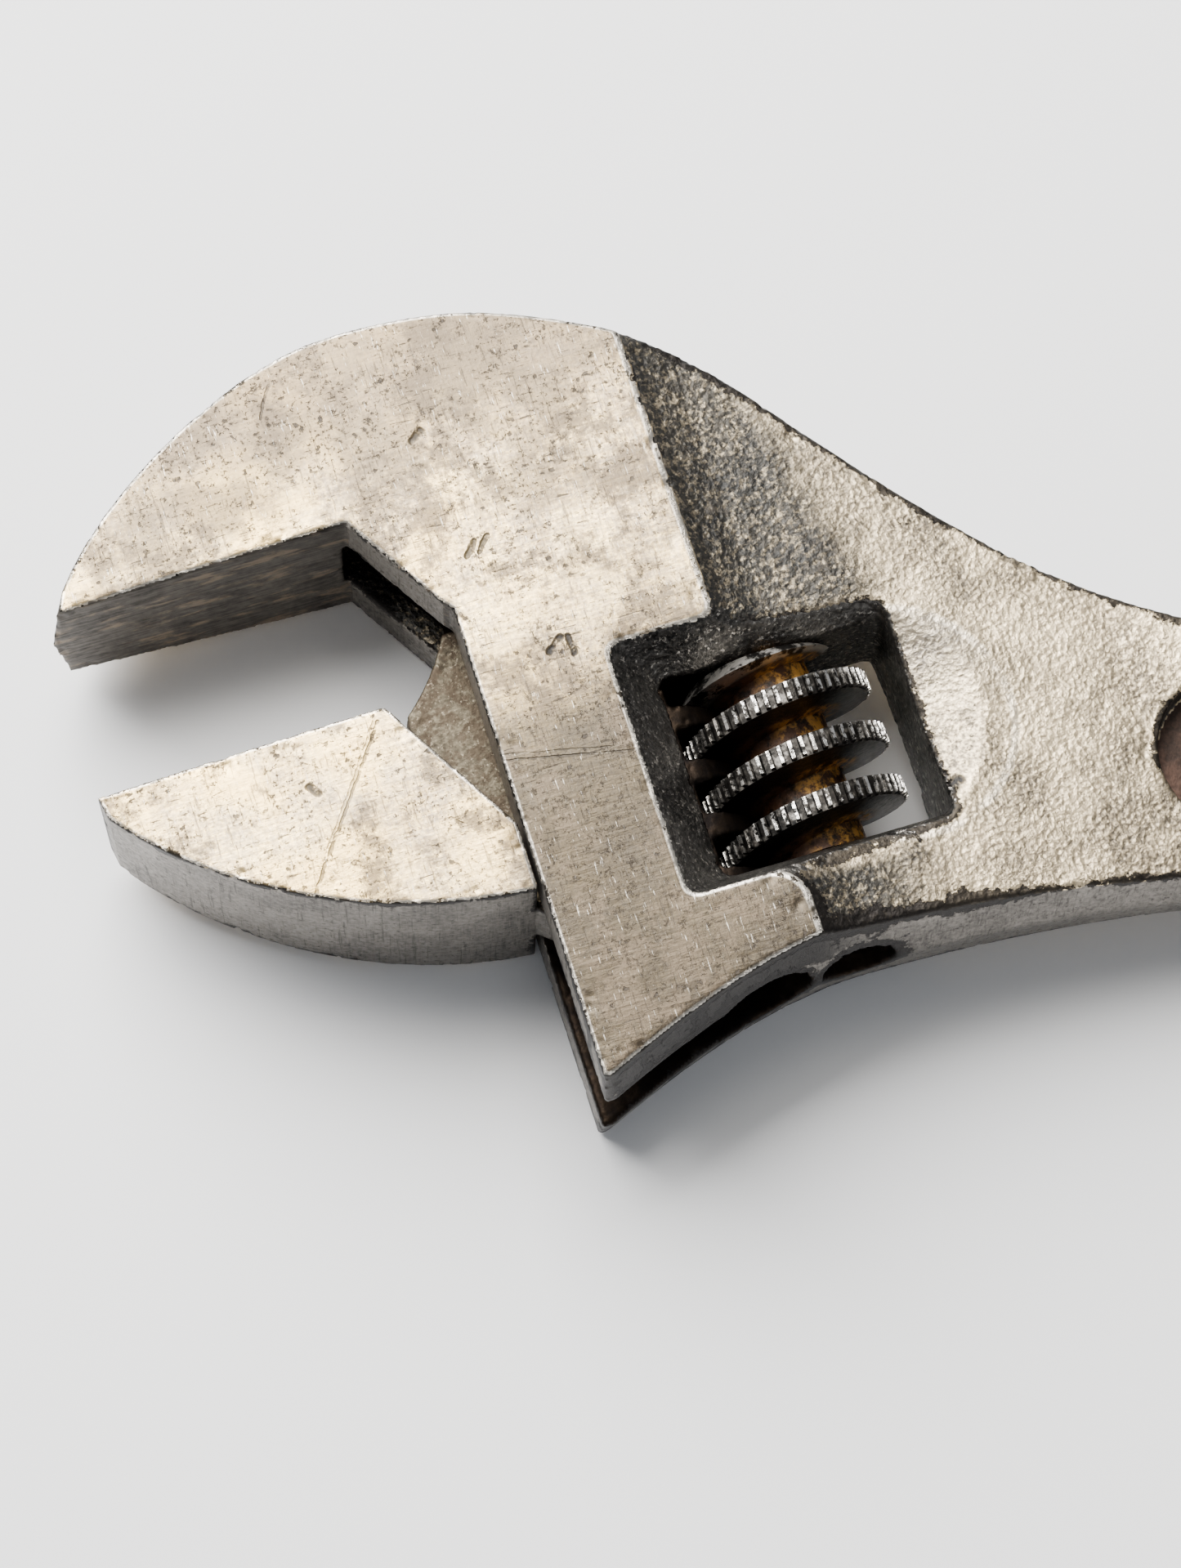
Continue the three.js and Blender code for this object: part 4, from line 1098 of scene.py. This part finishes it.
class TeethTree:
    """Lays teeth along the crest of the worm's thread.

    Args:
        knurl: the worm, for its sizes.
    """

    def __init__(self, knurl: Knurl) -> None:
        self.knurl = knurl

    def row(self) -> bpy.types.Object:
        """The teeth as one mesh in the row frame."""
        knurl = self.knurl
        start, end = knurl.TURNS
        length = (end - start) * 2 * math.pi * knurl.CREST_RADIUS
        build = TreeBuilder("worm_teeth")
        given = build.inputs(
            Count=round(length / knurl.TOOTH_SPACING), Radius=knurl.CREST_RADIUS * MM, Pitch=knurl.PITCH * MM,
            Start=start * 2 * math.pi, Sweep=(end - start) * 2 * math.pi, Width=knurl.CREST_WIDTH * MM,
            Depth=(knurl.CUT + 0.25) * MM, Thickness=knurl.TOOTH_SPACING * 0.62 * MM, Seed=SEED,
            Finish=knurl.finishes[0],
        )
        graph = build.graph
        index = build.node("GeometryNodeInputIndex")
        angle = given["Start"] + given["Sweep"] * index / given["Count"]
        rise = given["Pitch"] * angle / (2 * math.pi)
        middle = given["Radius"] - given["Depth"] * 0.5
        place = graph.combine(graph.math("SINE", angle) * middle, rise, graph.math("COSINE", angle) * middle)
        points = build.node("GeometryNodePoints", {"Count": given["Count"], "Position": place})
        size = graph.combine(given["Thickness"], given["Width"], given["Depth"])
        tooth = build.node("GeometryNodeMeshCube", {"Size": size})
        narrowed = self.narrowed(build, tooth, given["Depth"])
        turn = graph.combine(0.0, angle, 0.0)
        wobble = build.node(
            "FunctionNodeRandomValue", {2: 0.86, 3: 1.0, "Seed": given["Seed"]}, output=1, data_type="FLOAT",
        )
        uneven = graph.combine(wobble, 1.0, 1.0)
        row = build.node(
            "GeometryNodeInstanceOnPoints",
            {"Points": points, "Instance": narrowed, "Rotation": turn, "Scale": uneven},
        )
        made = build.run("worm_teeth", row, given["Finish"])
        worm = Matrix.Translation(Vector((WORM_X, knurl.THREAD_Y, 0)))
        made.data.transform(HEAD.matrix() @ worm @ Matrix.Scale(1 / MM, 4))
        return made

    @staticmethod
    def narrowed(build: TreeBuilder, tooth: Wire, depth: Wire) -> Wire:
        """A tooth whose top is narrower than its foot."""
        graph = build.graph
        place = build.node("GeometryNodeInputPosition")
        parts = graph.node("ShaderNodeSeparateXYZ", {0: place})
        x, y, z = (Wire(graph, parts.outputs[index]) for index in range(3))
        share = 0.5 + z / depth
        shape = graph.combine(x * (1 - 0.48 * share), y * (1 - 0.16 * share), z)
        return build.node("GeometryNodeSetPosition", {"Geometry": tooth, "Position": shape})


class Spring(Piece):
    """The small coil that takes up the worm's end play."""

    WIRE = 0.25
    TURNS = 3.5

    def materials(self) -> list[bpy.types.Material]:
        """Dull drawn wire."""
        return [small_steel("spring_wire", 0.42, 0.16, 0.38)]

    def build(self) -> bpy.types.Object:
        """Sweeps a round wire along a coil inside the CAD spring's box."""
        low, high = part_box(self.node)
        points = HEAD.local(points_of(frame["nodes"][self.node].data))
        bottom, top = points[:, 1].min() + self.WIRE, points[:, 1].max() - self.WIRE
        across = np.hypot(points[:, 0] - WORM_X, points[:, 2]).max() - self.WIRE
        build = TreeBuilder("spring_coil")
        given = build.inputs(
            Resolution=48, Turns=self.TURNS, Radius=float(across) * MM, Height=float(top - bottom) * MM,
            Wire=self.WIRE * MM, Finish=self.finishes[0],
        )
        line = build.node("GeometryNodeCurveSpiral", {
            "Resolution": given["Resolution"], "Rotations": given["Turns"], "Start Radius": given["Radius"],
            "End Radius": given["Radius"], "Height": given["Height"],
        })
        section = build.node("GeometryNodeCurvePrimitiveCircle", {"Resolution": 12, "Radius": given["Wire"]})
        swept = {"Curve": line, "Profile Curve": section, "Fill Caps": True}
        coil = build.node("GeometryNodeCurveToMesh", swept)
        made = build.run(self.name, coil, given["Finish"])
        upright = Matrix.Rotation(-math.pi / 2, 4, "X")
        place = Matrix.Translation(Vector((WORM_X, bottom, 0)))
        made.data.transform(HEAD.matrix() @ place @ upright @ Matrix.Scale(1 / MM, 4))
        made.data.materials.clear()
        made.data.shade_smooth()
        self.log.info("coil %.2f mm long in a box %.2f mm high", top - bottom, (high - low).z / MM)
        return made


class Pin(Piece):
    """The worm's slotted pin."""

    def materials(self) -> list[bpy.types.Material]:
        """Dull steel with dark spots."""
        return [small_steel("pin_steel", 0.62, 0.30, 0.42)]

    def build(self) -> bpy.types.Object:
        """A copy of the CAD pin with its edges broken."""
        source = merged_copy(self.node)
        mesh = bpy.data.meshes.new(self.name)
        source.to_mesh(mesh)
        source.free()
        made = new_object(self.name, mesh)
        broken = made.modifiers.new("broken_edges", "BEVEL")
        broken.width = 0.08 * MM
        broken.segments = 2
        broken.limit_method = "ANGLE"
        broken.angle_limit = math.radians(40)
        made = baked(made)
        made.data.materials.clear()
        made.data.shade_smooth()
        smooth_by_angle(made, 35.0)
        return made


# ---- Stage --------------------------------------------------------------------------------------


@dataclass(frozen=True)
class Panel:
    """An area light: where it is, where it points, its size in metres and its power."""

    name: str
    place: tuple[float, float, float]
    aim: tuple[float, float, float]
    size: tuple[float, float]
    power: float
    color: tuple[float, float, float] = (1.0, 1.0, 1.0)


PANELS = (
    Panel("key", (-0.33, 0.36, 0.46), (-0.08, 0.03, 0.0), (0.62, 0.62), 20.0, (1.0, 0.985, 0.955)),
    Panel("overhead", (-0.04, 0.26, 0.85), (-0.05, 0.0, 0.0), (0.30, 0.24), 1.5, (1.0, 0.95, 0.86)),
    Panel("fill_front", (0.35, -0.60, 0.40), (-0.05, 0.0, 0.0), (0.40, 0.30), 0.8, (0.95, 0.98, 1.0)),
)


class Studio:
    """Camera, floor, lights and world."""

    CAMERA = (-28.09, -108.72, 279.39)
    RIGHT = (0.95430, -0.29802, 0.02242)
    DOWN = (-0.27550, -0.90629, -0.32051)
    LENS = 98.99
    SENSOR = 36.0

    def camera(self) -> None:
        """Looks down on the head, with the handle running out of the picture."""
        right = HEAD.turn(*self.RIGHT).normalized()
        up = -HEAD.turn(*self.DOWN)
        back = right.cross(up).normalized()
        up = back.cross(right)
        data = bpy.data.cameras.new("camera")
        data.lens = self.LENS
        data.sensor_fit = "VERTICAL"
        data.sensor_height = self.SENSOR
        data.clip_start = 0.01
        made = bpy.data.objects.new("camera", data)
        turn = Matrix((right, up, back)).transposed().to_4x4()
        made.matrix_world = Matrix.Translation(HEAD.place(*self.CAMERA)) @ turn
        bpy.context.scene.collection.objects.link(made)
        bpy.context.scene.camera = made

    def floor(self) -> None:
        """A plain, pale, matte table."""
        bpy.ops.mesh.primitive_plane_add(size=4.0, location=(0, 0, -0.0004))
        table = bpy.context.object
        table.name = "table"
        material = bpy.data.materials.new("table_top")
        material.use_nodes = True
        shader = material.node_tree.nodes["Principled BSDF"]
        shader.inputs["Base Color"].default_value = (0.86, 0.865, 0.88, 1)
        shader.inputs["Roughness"].default_value = 0.62
        table.data.materials.append(material)

    def lights(self) -> None:
        """Soft area lights."""
        for panel in PANELS:
            data = bpy.data.lights.new(panel.name, "AREA")
            data.shape = "RECTANGLE"
            data.size, data.size_y = panel.size
            data.energy = panel.power
            data.color = panel.color
            made = bpy.data.objects.new(panel.name, data)
            made.location = panel.place
            aim = Vector(panel.aim) - Vector(panel.place)
            made.rotation_euler = aim.to_track_quat("-Z", "Y").to_euler()
            bpy.context.scene.collection.objects.link(made)

    def world(self) -> None:
        """An even, soft surround."""
        world = bpy.data.worlds.new("surround")
        world.use_nodes = True
        sky = world.node_tree.nodes["Background"]
        sky.inputs["Color"].default_value = (0.80, 0.83, 0.88, 1)
        sky.inputs["Strength"].default_value = 0.34
        bpy.context.scene.world = world

    def build(self) -> None:
        """Sets the whole stage up."""
        for part in (self.camera, self.floor, self.lights, self.world):
            part()
            LOG.info("stage: %s", part.__name__)


# ---- The wrench ---------------------------------------------------------------------------------


def main() -> None:
    """Builds every piece and the stage."""
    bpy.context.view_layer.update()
    pieces: list[Piece] = [
        Body("body_forging", "wrench_body", "frame", Refining(0.22, 190_000, 3), BODY_MARKS),
        Jaw("jaw_forging", "movable_jaw", "jaw", Refining(0.16, 150_000, 3), JAW_MARKS),
        Knurl("worm", "worm_knurl", "worm"),
        Pin("pin", "worm_pin", "frame"),
        Spring("spring", "worm_spring", "frame"),
    ]
    for piece in pieces:
        piece.add()
    Studio().build()


if __name__ == "__main__":
    main()
